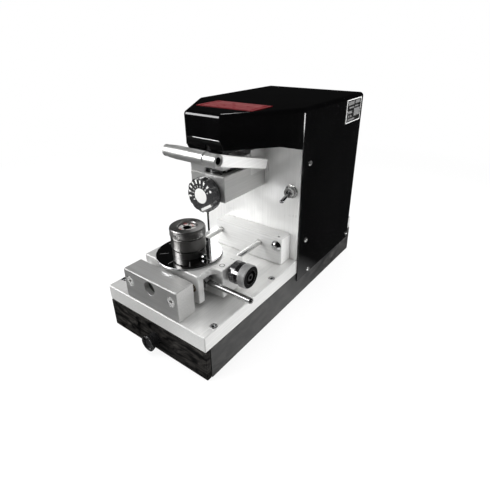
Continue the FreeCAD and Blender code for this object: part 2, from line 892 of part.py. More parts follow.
def cover_screw(side, place):
    """A dome-headed screw through one side of the cover."""
    y, z = place
    ball = (cover_screw_head_radius ** 2 + cover_screw_head_height ** 2) / (2 * cover_screw_head_height)
    crown = cover_screw_head_height - ball
    head = Part.makeSphere(ball, Vector(0, 0, crown))
    head = head.common(round_z(cover_screw_head_radius, 0, 0, 0, cover_screw_head_height))
    shank = round_z(small_screw_radius, 0, 0, -cover_screw_length, 0)
    crest = Vector(0, 0, cover_screw_head_height)
    screw = joined(head, shank).cut(hex_socket(small_screw_radius, crest, -z_axis))
    turn = FreeCAD.Rotation(z_axis, side * x_axis)
    screw.Placement = FreeCAD.Placement(Vector(side * cover_outside, y, z), turn)
    return screw


def cover_screws():
    screws = [cover_screw(side, place) for side in (-1, 1) for place in cover_screw_places]
    return Part.makeCompound(screws)


def name_plate():
    x, y = name_plate_centre
    length, depth = name_plate_size
    return block(x - length / 2, x + length / 2, y - depth / 2, y + depth / 2, cover_top,
                 cover_top + label_thickness)


def rating_plate():
    y, z = rating_plate_centre
    length, height = rating_plate_size
    return block(cover_outside, cover_outside + label_thickness, y - length / 2, y + length / 2,
                 z - height / 2, z + height / 2)


def inlet_envelope():
    z = plate_top + inlet_place
    back = cover_back + inlet_flange
    start = back - inlet_depth
    return block(-inlet_width / 2, inlet_width / 2, start, cover_back, z - inlet_height / 2,
                 z + inlet_height / 2)


def power_inlet():
    body = inlet_envelope()
    z = plate_top + inlet_place
    half = inlet_width / 2 + inlet_flange
    half_height = inlet_height / 2 + inlet_flange
    back = cover_back + inlet_flange
    flange = block(-half, half, cover_back, back, z - half_height, z + half_height)
    inside = inlet_width / 2 - inlet_wall
    inside_height = inlet_height / 2 - inlet_wall
    mouth = block(-inside, inside, back - inlet_mouth_depth, back, z - inside_height, z + inside_height)
    pins = [round_y(inlet_pin_radius, x, z, back - inlet_mouth_depth, back - inlet_flange)
            for x in (-inside / 2, 0, inside / 2)]
    return joined(joined(body, flange).cut(mouth), *pins)


def head_bolt_grid():
    """Centres of the bolts that hold the head and the fulcrum block on the panel."""
    heights = (head_bottom + head_bolt_margin, fulcrum_floor - head_bolt_margin,
               fulcrum_top - head_bolt_margin)
    return [(side * head_bolt_spread, z) for z in heights for side in (-1, 1)]


def head_bolt(x, z, maker):
    length = panel_thickness + 4 * medium_screw_radius
    place = Vector(x, panel_back + 2 * medium_screw_radius, z)
    return maker(medium_screw_radius, length, place, -y_axis)


def frame_bolts():
    """The bolts under the rod blocks and those behind the head."""
    bolts = [block_bolt(x, y, socket_screw) for x, y in block_bolt_grid()]
    bolts += [head_bolt(x, z, socket_screw) for x, z in head_bolt_grid()]
    return Part.makeCompound(bolts)


def head_block():
    half = head_width / 2
    body = eased(block(-half, half, head_front, panel_front, head_bottom, head_top))
    step = block(-half, half, fulcrum_front, panel_front, fulcrum_floor, head_top)
    well = block(-yoke_well_width / 2, yoke_well_width / 2, yoke_well_front, fulcrum_front,
                 yoke_well_floor, head_top)
    bore = round_z(quill_radius + running_fit, 0, cutter_place, head_bottom, head_top)
    shaft = round_y(depth_shaft_radius + running_fit, 0, depth_height, head_front, cutter_place)
    bolts = [head_bolt(x, z, screw_seat) for x, z in head_bolt_grid()[:4]]
    screws = [bridge_screw(side, screw_seat) for side in (-1, 1)]
    return body.cut([step, well, bore, shaft] + bolts + screws)


def fulcrum_block():
    half = head_width / 2
    body = block(-half, half, fulcrum_front, panel_front, fulcrum_floor, fulcrum_top)
    slot_half = fulcrum_slot_width / 2
    slot = block(-slot_half, slot_half, fulcrum_front, fulcrum_slot_back, fulcrum_floor, fulcrum_slot_top)
    shaft = round_x(pivot_radius + running_fit, pivot_place, pivot_height, -half, half)
    bolts = [head_bolt(x, z, screw_seat) for x, z in head_bolt_grid()[4:]]
    return body.cut([slot, shaft] + bolts)


def bridge_plate():
    right = head_width / 2 - edge_chamfer
    body = block(-bridge_left, right, head_front, fulcrum_front, bridge_bottom, bridge_top)
    leg = block(-bridge_left, bridge_leg_width - bridge_left, head_front, head_front + bridge_leg_depth,
                head_top, bridge_bottom)
    feet = []
    for side in (-1, 1):
        inner, outer = sorted((side * (bridge_left - bridge_foot_width), side * bridge_left))
        feet.append(block(inner, outer, fulcrum_front - bridge_foot_length, fulcrum_front, head_top,
                          bridge_bottom))
    frame = joined(body, leg, *feet)
    race = round_z(race_radius, 0, cutter_place, bridge_bottom, bridge_top)
    screws = [bridge_screw(side, screw_seat) for side in (-1, 1)]
    return frame.cut([race] + screws)


def bridge_screw(side, maker):
    x = side * (bridge_left - bridge_foot_width / 2)
    y = fulcrum_front - bridge_foot_length / 2
    return maker(small_screw_radius, bridge_screw_reach, Vector(x, y, bridge_top - screw_seat_gap), -z_axis)


def cap_screws():
    """The screws in the guide rods' front ends, those in the bridge and the stop's grub screw."""
    screws = [rod_screw(side, socket_screw) for side in (-1, 1)]
    screws += [bridge_screw(side, socket_screw) for side in (-1, 1)]
    return Part.makeCompound(screws + [stop_screw()])


def pulley_bearing():
    ring = round_z(race_radius, 0, cutter_place, bridge_bottom, bridge_top)
    return ring.cut(round_z(pulley_sleeve_radius + running_fit, 0, cutter_place, bridge_bottom, bridge_top))


def quill_sleeve():
    body = round_z(quill_radius, 0, cutter_place, quill_bottom, quill_top)
    low = quill_groove_top - quill_groove_height
    groove = round_z(quill_radius, 0, cutter_place, low, quill_groove_top)
    groove = groove.cut(round_z(quill_groove_radius, 0, cutter_place, low, quill_groove_top))
    bore = round_z(arbor_radius + moving_gap, 0, cutter_place, quill_bottom, quill_top)
    pockets = [round_z(bearing_radius, 0, cutter_place, low, low + bearing_height)
               for low in bearing_places()]
    reach = depth_pin_throw + depth_pin_radius + moving_gap
    front = cutter_place - quill_radius
    slot = block(-depth_slot_half_width, depth_slot_half_width, front - quill_radius,
                 front + depth_pin_length + moving_gap, depth_height - reach,
                 depth_height + reach + quill_travel)
    return body.cut([groove, bore, slot] + pockets)


def bearing_places():
    """The lower faces of the two bearings in the quill."""
    return quill_bottom, quill_top - bearing_height


def quill_bearings():
    rings = []
    for low in bearing_places():
        ring = round_z(bearing_radius, 0, cutter_place, low, low + bearing_height)
        bore = round_z(arbor_radius + running_fit, 0, cutter_place, low, low + bearing_height)
        rings.append(ring.cut(bore))
    return Part.makeCompound(rings)


def cutter_arbor():
    nut_top = quill_bottom - moving_gap
    low = nut_top - collet_nut_height
    profile = [(cutter_radius, low), (arbor_radius, low), (arbor_radius, quill_top)]
    profile += [(arbor_tail_radius, quill_top), (arbor_tail_radius, arbor_top), (0, arbor_top)]
    profile += [(0, nut_top), (cutter_radius, nut_top)]
    return turned(profile, Vector(0, cutter_place, 0), z_axis)


def collet_nut():
    high = quill_bottom - moving_gap
    low = high - collet_nut_height
    rim = collet_nut_radius - edge_chamfer
    profile = [(arbor_radius, low), (rim, low), (collet_nut_radius, low + edge_chamfer)]
    profile += [(collet_nut_radius, high), (arbor_radius, high)]
    return turned(profile, Vector(0, cutter_place, 0), z_axis)


def cutter():
    high = quill_bottom - moving_gap
    shank = round_z(cutter_radius, 0, cutter_place, cutter_tip, high)
    flute = block(cutter_web, cutter_radius, cutter_place, cutter_place + cutter_radius, cutter_tip,
                  high - collet_nut_height)
    other = flute.copy()
    other.rotate(Vector(0, cutter_place, 0), z_axis, 180)
    return shank.cut([flute, other])


def spindle_pulley():
    return grooved_pulley(spindle_pulley_groove, cutter_place, arbor_tail_radius + running_fit,
                          pulley_sleeve_radius)


def motor_pulley():
    return grooved_pulley(motor_pulley_groove, motor_place, motor_shaft_radius, 0)


def grooved_pulley(groove, place, bore, sleeve):
    """A flat-grooved pulley, with a sleeve below it where one is asked for."""
    rim = groove + pulley_rim
    low = pulley_bottom + pulley_flange
    high = pulley_top - pulley_flange
    profile = [(bore, pulley_bottom), (rim, pulley_bottom), (rim, low), (groove, low), (groove, high)]
    profile += [(rim, high), (rim, pulley_top), (bore, pulley_top)]
    pulley = turned(profile, Vector(0, place, 0), z_axis)
    if not sleeve:
        return pulley
    tube = round_z(sleeve, 0, place, bridge_bottom, pulley_bottom)
    return joined(pulley, tube.cut(round_z(bore, 0, place, bridge_bottom, pulley_bottom)))


def belt_face(extra):
    """The area inside a belt that clears both pulleys' grooves by the extra amount."""
    small = spindle_pulley_groove + extra
    large = motor_pulley_groove + extra
    lean = math.asin((large - small) / (motor_place - cutter_place))
    right = Vector(math.cos(lean), -math.sin(lean), 0)
    left = Vector(-math.cos(lean), -math.sin(lean), 0)
    front = Vector(0, cutter_place, belt_low)
    back = Vector(0, motor_place, belt_low)
    nose = Part.Arc(front + small * left, front - small * y_axis, front + small * right)
    tail = Part.Arc(back + large * right, back + large * y_axis, back + large * left)
    sides = [Part.LineSegment(front + small * right, back + large * right),
             Part.LineSegment(back + large * left, front + small * left)]
    edges = [nose.toShape(), sides[0].toShape(), tail.toShape(), sides[1].toShape()]
    return Part.Face(Part.Wire(edges))


def drive_belt():
    ring = belt_face(belt_gap + belt_thickness).cut(belt_face(belt_gap))
    return ring.extrude(Vector(0, 0, belt_high - belt_low))


def motor_body():
    bell = motor_top + motor_bell_height
    inside = motor_radius - motor_wall
    ceiling = motor_top - motor_wall
    bore = motor_shaft_radius + running_fit
    profile = [(0, motor_foot_top), (motor_radius, motor_foot_top), (motor_radius, motor_top)]
    profile += [(motor_bell_radius, motor_top), (motor_bell_radius, bell), (bore, bell)]
    profile += [(bore, ceiling), (inside, ceiling), (inside, motor_floor), (0, motor_floor)]
    can = turned(profile, Vector(0, motor_place, 0), z_axis)
    half = motor_foot_size / 2
    foot = block(-half, half, motor_place - half, motor_place + half, plate_top, motor_foot_top)
    return joined(can, foot)


def motor_shaft():
    return round_z(motor_shaft_radius, 0, motor_place, motor_floor + moving_gap, pulley_top)


def rotor_core():
    middle = (motor_floor + motor_top) / 2
    low = middle - rotor_length / 2
    high = middle + rotor_length / 2
    core = round_z(rotor_radius, 0, motor_place, low, high)
    return core.cut(round_z(motor_shaft_radius, 0, motor_place, low, high))


def arm_point(along, across):
    """A (y, z) place on the feed arm, along it from the pivot and square to it."""
    angle = math.radians(arm_angle)
    y = pivot_place - along * math.cos(angle) + across * math.sin(angle)
    z = pivot_height + along * math.sin(angle) + across * math.cos(angle)
    return y, z


def arm_reach():
    """The distance along the arm from the pivot to the grip's axis."""
    return (pivot_place - grip_place) / math.cos(math.radians(arm_angle))


def feed_arm():
    half = arm_height / 2
    end = arm_reach()
    corners = [arm_point(-arm_tail, -half), arm_point(end, -half), arm_point(end, half),
               arm_point(-arm_tail, half)]
    bar = eased(side_slab(corners, arm_inside, arm_outside))
    y, z = arm_point(end, 0)
    seat = round_x(grip_hub_radius, y, z, arm_inside, arm_outside)
    return bar.cut([seat, pivot_shaft()])


def feed_grip():
    y, z = arm_point(arm_reach(), 0)
    hub = grip_hub_length
    tip = grip_length - grip_tip_length
    end = grip_length - grip_tip_round
    rim = grip_tip_radius - grip_tip_step
    socket = grip_socket_radius
    mouth = grip_socket_mouth
    profile = [(0, grip_socket_depth), (socket, grip_socket_depth), (socket, mouth), (socket + mouth, 0)]
    profile += [(grip_hub_radius - edge_chamfer, 0), (grip_hub_radius, edge_chamfer), (grip_hub_radius, hub)]
    profile += [(grip_radius, hub + edge_chamfer), (grip_radius, tip - grip_taper_length)]
    profile += [(grip_tip_radius, tip), (rim, tip + grip_tip_step), (rim, end)]
    profile += [(rim - grip_tip_round, grip_length), (0, grip_length)]
    return turned(profile, Vector(arm_outside, y, z), -x_axis)


def pivot_shaft():
    """The lever's pivot, which ends inside the arm."""
    return round_x(pivot_radius, pivot_place, pivot_height, -head_width / 2, arm_outside - arm_skin)


def feed_yoke():
    front = cutter_place - yoke_pin_radius - edge_chamfer
    back = yoke_web_start + yoke_web_length
    top = yoke_bottom + yoke_thickness
    inside = yoke_outside - yoke_prong
    prongs = [block(inside, yoke_outside, front, back, yoke_bottom, top),
              block(-yoke_outside, -inside, front, back, yoke_bottom, top)]
    web = block(-yoke_outside, yoke_outside, yoke_web_start, back, yoke_bottom, top)
    right = fulcrum_slot_width / 2 - moving_gap
    left = right - yoke_stem_width
    stem = block(left, right, back, pivot_place, yoke_bottom, top)
    hub = round_x(yoke_hub_radius, pivot_place, pivot_height, left, right)
    reach = quill_groove_radius + moving_gap
    z = quill_groove_top - quill_groove_height / 2
    pins = [round_x(yoke_pin_radius, cutter_place, z, reach, inside),
            round_x(yoke_pin_radius, cutter_place, z, -inside, -reach)]
    body = joined(web, stem, hub, *(prongs + pins))
    return body.cut(pivot_shaft())


def lever_spring():
    left = fulcrum_slot_width / 2 - moving_gap - yoke_stem_width
    length = spring_turns * spring_pitch
    base = Vector(left - moving_gap - spring_wire - length, pivot_place, pivot_height)
    return coil(spring_mean_radius, spring_wire, spring_turns, spring_pitch, base, x_axis)


def depth_knob():
    flange_start = head_front - moving_gap - depth_flange_thickness
    body = round_y(depth_radius, 0, depth_height, depth_face, flange_start)
    rim = [edge for edge in body.Edges if edge.Closed and edge.CenterOfMass.y < depth_face + moving_gap]
    body = body.makeChamfer(edge_chamfer, rim)
    flange = round_y(depth_flange_radius, 0, depth_height, flange_start, head_front - moving_gap)
    throw = depth_radius + depth_flute_radius - depth_flute_depth
    flutes = []
    for index in range(depth_flute_count):
        turn = 2 * math.pi * (index + 0.5) / depth_flute_count
        x = throw * math.cos(turn)
        z = depth_height + throw * math.sin(turn)
        flutes.append(round_y(depth_flute_radius, x, z, depth_face, flange_start))
    return joined(body.cut(flutes), flange).cut(depth_shaft())


def depth_shaft():
    start = head_front - moving_gap - depth_flange_thickness
    end = cutter_place - quill_radius - moving_gap
    shaft = round_y(depth_shaft_radius, 0, depth_height, start, end)
    pin = round_y(depth_pin_radius, 0, depth_height + depth_pin_throw, end,
                  end + moving_gap + depth_pin_length)
    return joined(shaft, pin)


def switch_body():
    half = switch_body_width / 2
    half_height = switch_body_height / 2
    case = block(switch_place - half, switch_place + half, panel_back, panel_back + switch_body_depth,
                 switch_height - half_height, switch_height + half_height)
    bush = round_y(switch_bush_radius, switch_place, switch_height, switch_bush_end, panel_back)
    room = bat_ball_radius + bat_ball_room
    throat = round_y(room, switch_place, switch_height, switch_bush_end, switch_bush_end + 2 * room)
    return joined(case, bush).cut(throat)


def switch_nut():
    """The hexagon nut and the washer under it."""
    points = []
    for corner in range(6):
        turn = math.pi * corner / 3
        points.append(Vector(switch_place + switch_nut_radius * math.cos(turn), 0,
                             switch_height + switch_nut_radius * math.sin(turn)))
    start = panel_front - switch_washer_thickness - switch_nut_thickness
    nut = Part.Face(Part.makePolygon(points + points[:1])).extrude(switch_nut_thickness * y_axis)
    nut.translate(start * y_axis)
    bush = round_y(switch_bush_radius, switch_place, switch_height, start, panel_front)
    washer_start = panel_front - switch_washer_thickness
    washer = round_y(switch_washer_radius, switch_place, switch_height, washer_start, panel_front)
    return Part.makeCompound([nut.cut(bush), washer.cut(bush)])


def bat_pivot():
    """The centre of the ball that the switch's bat swings on."""
    return Vector(switch_place, switch_bush_end + bat_ball_radius + bat_ball_room, switch_height)


def switch_bat():
    pivot = bat_pivot()
    tilt = math.radians(switch_tilt)
    outward = Vector(0, -math.cos(tilt), -math.sin(tilt))
    stem = Part.makeCone(bat_root_radius, bat_tip_radius, bat_length, pivot, outward)
    tip = Part.makeSphere(bat_tip_radius, pivot + bat_length * outward)
    half = bat_ball_radius + bat_ball_room / 2
    pin = round_x(bat_pin_radius, pivot.y, pivot.z, pivot.x - half, pivot.x + half)
    return joined(Part.makeSphere(bat_ball_radius, pivot), stem, tip, pin)


piece_makers = (
    base_frame, base_plate, plate_screws, drawer_tray, drawer_front, drawer_pull, frame_bolts,
    cap_screws, front_rod_block, rear_rod_block, guide_rods, stop_button, carriage_block,
    guide_bushes, pointer_pin, clamp_ring, clamp_lever, work_spindle, spindle_retainer,
    dial_disc, chuck_body, lock_screw, chuck_collet, chuck_cap, plunger_housing, plunger_pin,
    plunger_knob, plunger_spring, column_panel, gusset_plates, hood_cover, cover_screws,
    name_plate, rating_plate, power_inlet, head_block, fulcrum_block, bridge_plate,
    pulley_bearing, quill_sleeve, quill_bearings, cutter_arbor, collet_nut, cutter,
    spindle_pulley, motor_pulley, drive_belt, motor_body, motor_shaft, rotor_core, feed_arm,
    feed_grip, pivot_shaft, feed_yoke, lever_spring, depth_knob, depth_shaft, switch_body, switch_nut,
    switch_bat,
)

os.makedirs("parts", exist_ok=True)
for make_piece in piece_makers:
    piece = make_piece().copy()
    piece.translate(Vector(0, -base_length / 2, 0))
    if not piece.isValid():
        raise ValueError(make_piece.__name__)
    piece.exportStep("parts/" + make_piece.__name__ + ".step")
print(len(piece_makers), "pieces")
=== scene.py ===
"""Studio scene of the tubular-key duplicating machine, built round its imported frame."""
import math

import bmesh
import bpy
from mathutils import Matrix, Vector


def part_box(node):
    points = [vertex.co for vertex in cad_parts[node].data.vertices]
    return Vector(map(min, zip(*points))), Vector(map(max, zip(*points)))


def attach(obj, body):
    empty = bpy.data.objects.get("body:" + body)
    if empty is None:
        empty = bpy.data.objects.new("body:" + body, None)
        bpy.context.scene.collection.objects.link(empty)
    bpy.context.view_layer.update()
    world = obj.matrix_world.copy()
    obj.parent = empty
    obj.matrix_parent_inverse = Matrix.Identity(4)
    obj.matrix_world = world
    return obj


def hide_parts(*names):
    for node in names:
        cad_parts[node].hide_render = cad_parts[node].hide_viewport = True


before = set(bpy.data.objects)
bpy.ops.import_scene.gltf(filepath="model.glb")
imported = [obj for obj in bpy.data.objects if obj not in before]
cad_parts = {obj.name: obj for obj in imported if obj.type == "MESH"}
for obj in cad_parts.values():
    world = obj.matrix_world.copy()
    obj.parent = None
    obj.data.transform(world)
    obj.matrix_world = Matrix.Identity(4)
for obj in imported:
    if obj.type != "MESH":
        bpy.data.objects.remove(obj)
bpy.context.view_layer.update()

MM = 0.001
TURN = 2 * math.pi
RIGHT = (1, 0, 0)
FRONT = (0, -1, 0)
REAR = (0, 1, 0)
UP = (0, 0, 1)

# Camera, from the photograph's vanishing lines: metres, degrees, and millimetres of lens
camera_place = (0.27832, -0.36955, 0.31520)
camera_turn = (63.175, 0.586, 36.747)
camera_lens = 27.88
camera_shift = (-0.0059, -0.0301)
camera_near = 0.01

# Lamps: name, place, aim, width and height, power, and whether reflections show it
lamps = (
    ("key", (-0.70, -0.85, 0.65), (0, 0, 0.12), (0.6, 0.6), 13.0, True),
    ("top", (0.10, -0.20, 1.40), (0, 0, 0.1), (1.2, 1.2), 18.0, False),
    ("back", (-0.45, 0.50, 1.30), (0, 0, 0.1), (0.4, 0.4), 3.4, True),
    ("right", (1.00, 0.10, 0.45), (0, 0, 0.1), (0.8, 0.8), 6.2, False),
    ("left", (-0.75, -0.40, 0.12), (0.03, 0.0, 0.14), (0.5, 0.4), 9.5, False),
    ("rear right", (0.45, 0.38, 0.14), (0.08, 0.16, 0.02), (0.2, 0.2), 2.5, False),
    ("side panel", (0.62, 0.14, 0.13), (0.08, 0.0, 0.2), (0.22, 0.05), 0.7, True),
)

# Floor and room. Polished surfaces see a dark floor with glowing pale patches, painted reflections
# placed for the metal's faces: centre, inner and outer reach, and strength.
floor_size = 6.0
floor_paint = (0.85, 0.85, 0.85, 1)
floor_near = 0.3
floor_far = 0.9
floor_near_white = 0.78
floor_dark = 0.02
glow_patches_in_reflections = (
    ((0.14, -0.06, 0.0), 0.08, 0.17, 0.8),
    ((0.03, -0.215, 0.0), 0.02, 0.06, 0.45),
)
plain_white = (1, 1, 1, 1)
room_light = 0.07
room_in_reflections = 0.008

# Bare metals
aluminium_tone = (0.82, 0.82, 0.81, 1)
plate_tone = (0.77, 0.77, 0.76, 1)
head_tone = (0.66, 0.66, 0.65, 1)
arm_tone = (0.74, 0.74, 0.73, 1)
etched_tone = (0.80, 0.80, 0.79, 1)
steel_tone = (0.62, 0.62, 0.63, 1)
grey_steel_tone = (0.36, 0.36, 0.36, 1)
black_steel_tone = (0.07, 0.07, 0.072, 1)
mirror_tone = (0.52, 0.52, 0.53, 1)
blued_tone = (0.27, 0.265, 0.258, 1)
cap_tone = (0.38, 0.375, 0.37, 1)
collet_tone = (0.78, 0.77, 0.75, 1)
knurl_tone = (0.40, 0.40, 0.40, 1)
chrome_tone = (0.78, 0.78, 0.79, 1)
nickel_tone = (0.84, 0.84, 0.83, 1)
bronze_tone = (0.22, 0.16, 0.09, 1)

# Paints, plastics and prints
enamel_black = (0.0006, 0.0006, 0.0007, 1)
satin_black = (0.006, 0.006, 0.0065, 1)
base_black = (0.017, 0.017, 0.017, 1)
base_smoke = (0.065, 0.063, 0.061, 1)
drawer_smoke = (0.048, 0.045, 0.042, 1)
anodised_black = (0.028, 0.028, 0.029, 1)
plastic_black = (0.012, 0.012, 0.013, 1)
rubber_black = (0.02, 0.02, 0.02, 1)
print_black = (0.008, 0.008, 0.008, 1)
line_black = (0.03, 0.03, 0.03, 1)
line_grey = (0.30, 0.30, 0.30, 1)
bar_grey = (0.13, 0.13, 0.13, 1)
worn_grey = (0.22, 0.22, 0.22, 1)
print_white = (0.62, 0.62, 0.61, 1)
label_red = (0.13, 0.006, 0.010, 1)
label_pale = (0.25, 0.10, 0.10, 1)
paint_red = (0.62, 0.05, 0.04, 1)

# Tool marks per metre along X, Y and Z, for each direction of milling
along_x = (40.0, 3500.0, 3500.0)
along_y = (3500.0, 40.0, 3500.0)
along_z = (3500.0, 3500.0, 40.0)

# The cosine of a face's lean where it begins to count as an edge or a chamfer, and where it does
lean_begins = 0.97
lean_counts = 0.80

# Facets round small turned shapes
fine_facets = 64
ring_facets = 48
rod_facets = 32
dot_facets = 24
weld_reach = 0.002 * MM

# Knurls and printed marks
cap_knurl_columns = 96
cap_knurl_rows = 9
knob_knurl_columns = 72
knob_knurl_rows = 12
knurl_depth = 0.30 * MM
knurl_reach = 0.01 * MM
print_lift = 0.06 * MM
depth_digit_count = 10
depth_mark_first = 239.0
depth_mark_step = 20.35
work_mark_count = 8


def node(tree, kind, inputs=None, **settings):
    """A shader node with its settings and inputs given. An input is a value or another socket."""
    made = tree.nodes.new("ShaderNode" + kind)
    for key, value in settings.items():
        setattr(made, key, value)
    for key, value in (inputs or {}).items():
        if isinstance(value, bpy.types.NodeSocket):
            tree.links.new(value, made.inputs[key])
        else:
            made.inputs[key].default_value = value
    return made


def use(tree, group, inputs):
    """One of the shared effects placed in a material."""
    return node(tree, "Group", inputs, node_tree=group)


def math_of(tree, operation, *terms):
    """The result of a Math node on its terms."""
    return node(tree, "Math", dict(enumerate(terms)), operation=operation).outputs[0]


def spread(tree, value, low, high, to_low=0.0, to_high=1.0):
    """A value carried from one range to another and kept inside it."""
    ends = {"Value": value, "From Min": low, "From Max": high, "To Min": to_low, "To Max": to_high}
    return node(tree, "MapRange", ends).outputs["Result"]


def blend_of(tree, factor, first, second):
    """Two colours mixed by a factor."""
    mix = node(tree, "Mix", {0: factor, 6: first, 7: second}, data_type="RGBA")
    return mix.outputs[2]


def noise_of(tree, vector, scale, detail, **shape):
    """The value of a noise at a vector."""
    inputs = {"Vector": vector, "Scale": scale, "Detail": detail, **shape}
    return node(tree, "TexNoise", inputs).outputs["Fac"]


def shaded(tone, share, lift=0.0):
    """A tone made darker or lighter."""
    return tuple(min(1.0, share * channel + lift) for channel in tone[:3]) + (1,)


def effect(name, inputs, outputs):
    """An empty shader group with float or vector inputs and float outputs."""
    tree = bpy.data.node_groups.new(name, "ShaderNodeTree")
    for label, default in inputs.items():
        kind = "NodeSocketVector" if default is None else "NodeSocketFloat"
        socket = tree.interface.new_socket(label, in_out="INPUT", socket_type=kind)
        if default is not None:
            socket.default_value = default
    for label in outputs:
        tree.interface.new_socket(label, in_out="OUTPUT", socket_type="NodeSocketFloat")
    enter = tree.nodes.new("NodeGroupInput").outputs
    leave = tree.nodes.new("NodeGroupOutput").inputs
    return tree, enter, leave


def make_cutter_marks():
    """Fine parallel streaks left by a milling cutter, on an already stretched vector."""
    tree, enter, leave = effect("cutter marks", {"Vector": None}, ("Height", "Shade"))
    fine = noise_of(tree, enter["Vector"], scale=1.0, detail=4.0)
    broad = noise_of(tree, enter["Vector"], scale=0.17, detail=2.0)
    shade = math_of(tree, "MULTIPLY_ADD", fine, 0.6, math_of(tree, "MULTIPLY", broad, 0.4))
    tree.links.new(fine, leave["Height"])
    tree.links.new(shade, leave["Shade"])
    return tree


def make_lathe_rings():
    """Fine rings round the Z axis of an already centred vector."""
    inputs = {"Vector": None, "Rings": 4000.0}
    tree, enter, leave = effect("lathe rings", inputs, ("Height", "Shade"))
    parts = node(tree, "SeparateXYZ", {0: enter["Vector"]}).outputs
    x_squared = math_of(tree, "POWER", parts[0], 2.0)
    y_squared = math_of(tree, "POWER", parts[1], 2.0)
    radius = math_of(tree, "SQRT", math_of(tree, "ADD", x_squared, y_squared))
    place = node(tree, "CombineXYZ", {0: radius, 1: parts[2]}).outputs[0]
    rings = noise_of(tree, place, scale=enter["Rings"], detail=3.0)
    tree.links.new(rings, leave["Height"])
    tree.links.new(spread(tree, rings, 0.3, 0.7), leave["Shade"])
    return tree


def make_smudges():
    """Soft patches where hands and oil have changed the gloss."""
    tree, enter, leave = effect("smudges", {"Vector": None, "Scale": 30.0}, ("Mask",))
    patches = noise_of(tree, enter["Vector"], scale=enter["Scale"], detail=5.0,
                       Roughness=0.6, Distortion=0.4)
    tree.links.new(spread(tree, patches, 0.35, 0.7), leave["Mask"])
    return tree


def make_edge_wear():
    """A mask of the edges, broken up so that it looks chipped: worn paint on enamel, and on bare
    metal partly burnish, partly painted highlight.
    """
    tree, enter, leave = effect("edge wear and highlight", {"Vector": None, "Reach": 0.0006}, ("Mask",))
    rounded = node(tree, "Bevel", {"Radius": enter["Reach"]}, samples=4).outputs[0]
    plain = node(tree, "NewGeometry").outputs["Normal"]
    agree = node(tree, "VectorMath", {0: rounded, 1: plain}, operation="DOT_PRODUCT")
    edge = spread(tree, agree.outputs["Value"], lean_begins, lean_counts)
    chips = noise_of(tree, enter["Vector"], scale=260.0, detail=4.0)
    broken = spread(tree, chips, 0.42, 0.62)
    tree.links.new(math_of(tree, "MULTIPLY", edge, broken), leave["Mask"])
    return tree


def make_slants():
    """A mask of the faces that lie askew to the block's own directions, such as its chamfers."""
    tree, enter, leave = effect("slants", {"Normal": None}, ("Mask",))
    parts = node(tree, "SeparateXYZ", {0: enter["Normal"]}).outputs
    sizes = [math_of(tree, "ABSOLUTE", axis) for axis in parts]
    most = math_of(tree, "MAXIMUM", math_of(tree, "MAXIMUM", sizes[0], sizes[1]), sizes[2])
    tree.links.new(spread(tree, most, lean_begins, lean_counts), leave["Mask"])
    return tree


def make_streaks():
    """Smoky streaks and cloudy patches in a rubbed black finish."""
    tree, enter, leave = effect("smoky streaks", {"Vector": None}, ("Mask",))
    cloud = noise_of(tree, enter["Vector"], scale=1.0, detail=7.0,
                     Roughness=0.66, Distortion=2.0)
    tree.links.new(spread(tree, cloud, 0.44, 0.80), leave["Mask"])
    return tree


def make_grain():
    """The fine grain of a sprayed, moulded or printed skin."""
    inputs = {"Vector": None, "Scale": 2500.0, "Detail": 2.0}
    tree, enter, leave = effect("fine grain", inputs, ("Height",))
    grain = noise_of(tree, enter["Vector"], scale=enter["Scale"], detail=enter["Detail"])
    tree.links.new(grain, leave["Height"])
    return tree


cutter_marks = make_cutter_marks()
lathe_rings = make_lathe_rings()
smudges = make_smudges()
edge_wear_and_highlight = make_edge_wear()
smoky_streaks = make_streaks()
slants = make_slants()
fine_grain = make_grain()


def blank_material(name, **sockets):
    """A material with its Principled shader, and its plain values set on the shader."""
    material = bpy.data.materials.new(name)
    material.use_nodes = True
    tree = material.node_tree
    shader = tree.nodes["Principled BSDF"]
    for key, value in sockets.items():
        shader.inputs[key.replace("_", " ")].default_value = value
    place = node(tree, "TexCoord").outputs["Object"]
    return material, tree, shader, place


def set_bump(tree, shader, height, strength, distance, round_edges=0.0):
    """Bump on the shader's normal, over edges that are softened by a small radius."""
    bump = node(tree, "Bump", {"Height": height, "Strength": strength, "Distance": distance})
    if round_edges:
        soft = node(tree, "Bevel", {"Radius": round_edges}, samples=4)
        tree.links.new(soft.outputs[0], bump.inputs["Normal"])
    tree.links.new(bump.outputs[0], shader.inputs["Normal"])


def set_gloss(tree, shader, mask, rough, *extras):
    """Roughness that crosses its range with a mask, with the extras added to it."""
    value = spread(tree, mask, 0.0, 1.0, rough[0], rough[1])
    for extra in extras:
        value = math_of(tree, "ADD", value, extra)
    tree.links.new(value, shader.inputs["Roughness"])


def set_metal_colour(tree, shader, place, shade, dull, tone, bright, reach):
    """Bare metal's colour, from dull to its own tone with the tool marks, and brighter at edges:
    partly burnish, partly painted highlight.
    """
    edges = use(tree, edge_wear_and_highlight, {"Vector": place, "Reach": reach})
    colour = blend_of(tree, shade, dull, tone)
    colour = blend_of(tree, edges.outputs["Mask"], colour, bright)
    tree.links.new(colour, shader.inputs["Base Color"])


def set_paint_colour(tree, shader, place, colour, wear):
    """A paint's colour, with grey showing through along its rubbed edges."""
    edges = use(tree, edge_wear_and_highlight, {"Vector": place, "Reach": 0.8 * MM})
    rubbed = math_of(tree, "MULTIPLY", edges.outputs["Mask"], wear)
    tree.links.new(blend_of(tree, rubbed, colour, worn_grey), shader.inputs["Base Color"])


def set_peel(tree, shader, place, scale):
    """The fine orange peel of sprayed paint."""
    skin = use(tree, fine_grain, {"Vector": place, "Scale": scale, "Detail": 2.0})
    set_bump(tree, shader, skin.outputs["Height"], strength=0.12, distance=0.03 * MM,
             round_edges=0.3 * MM)


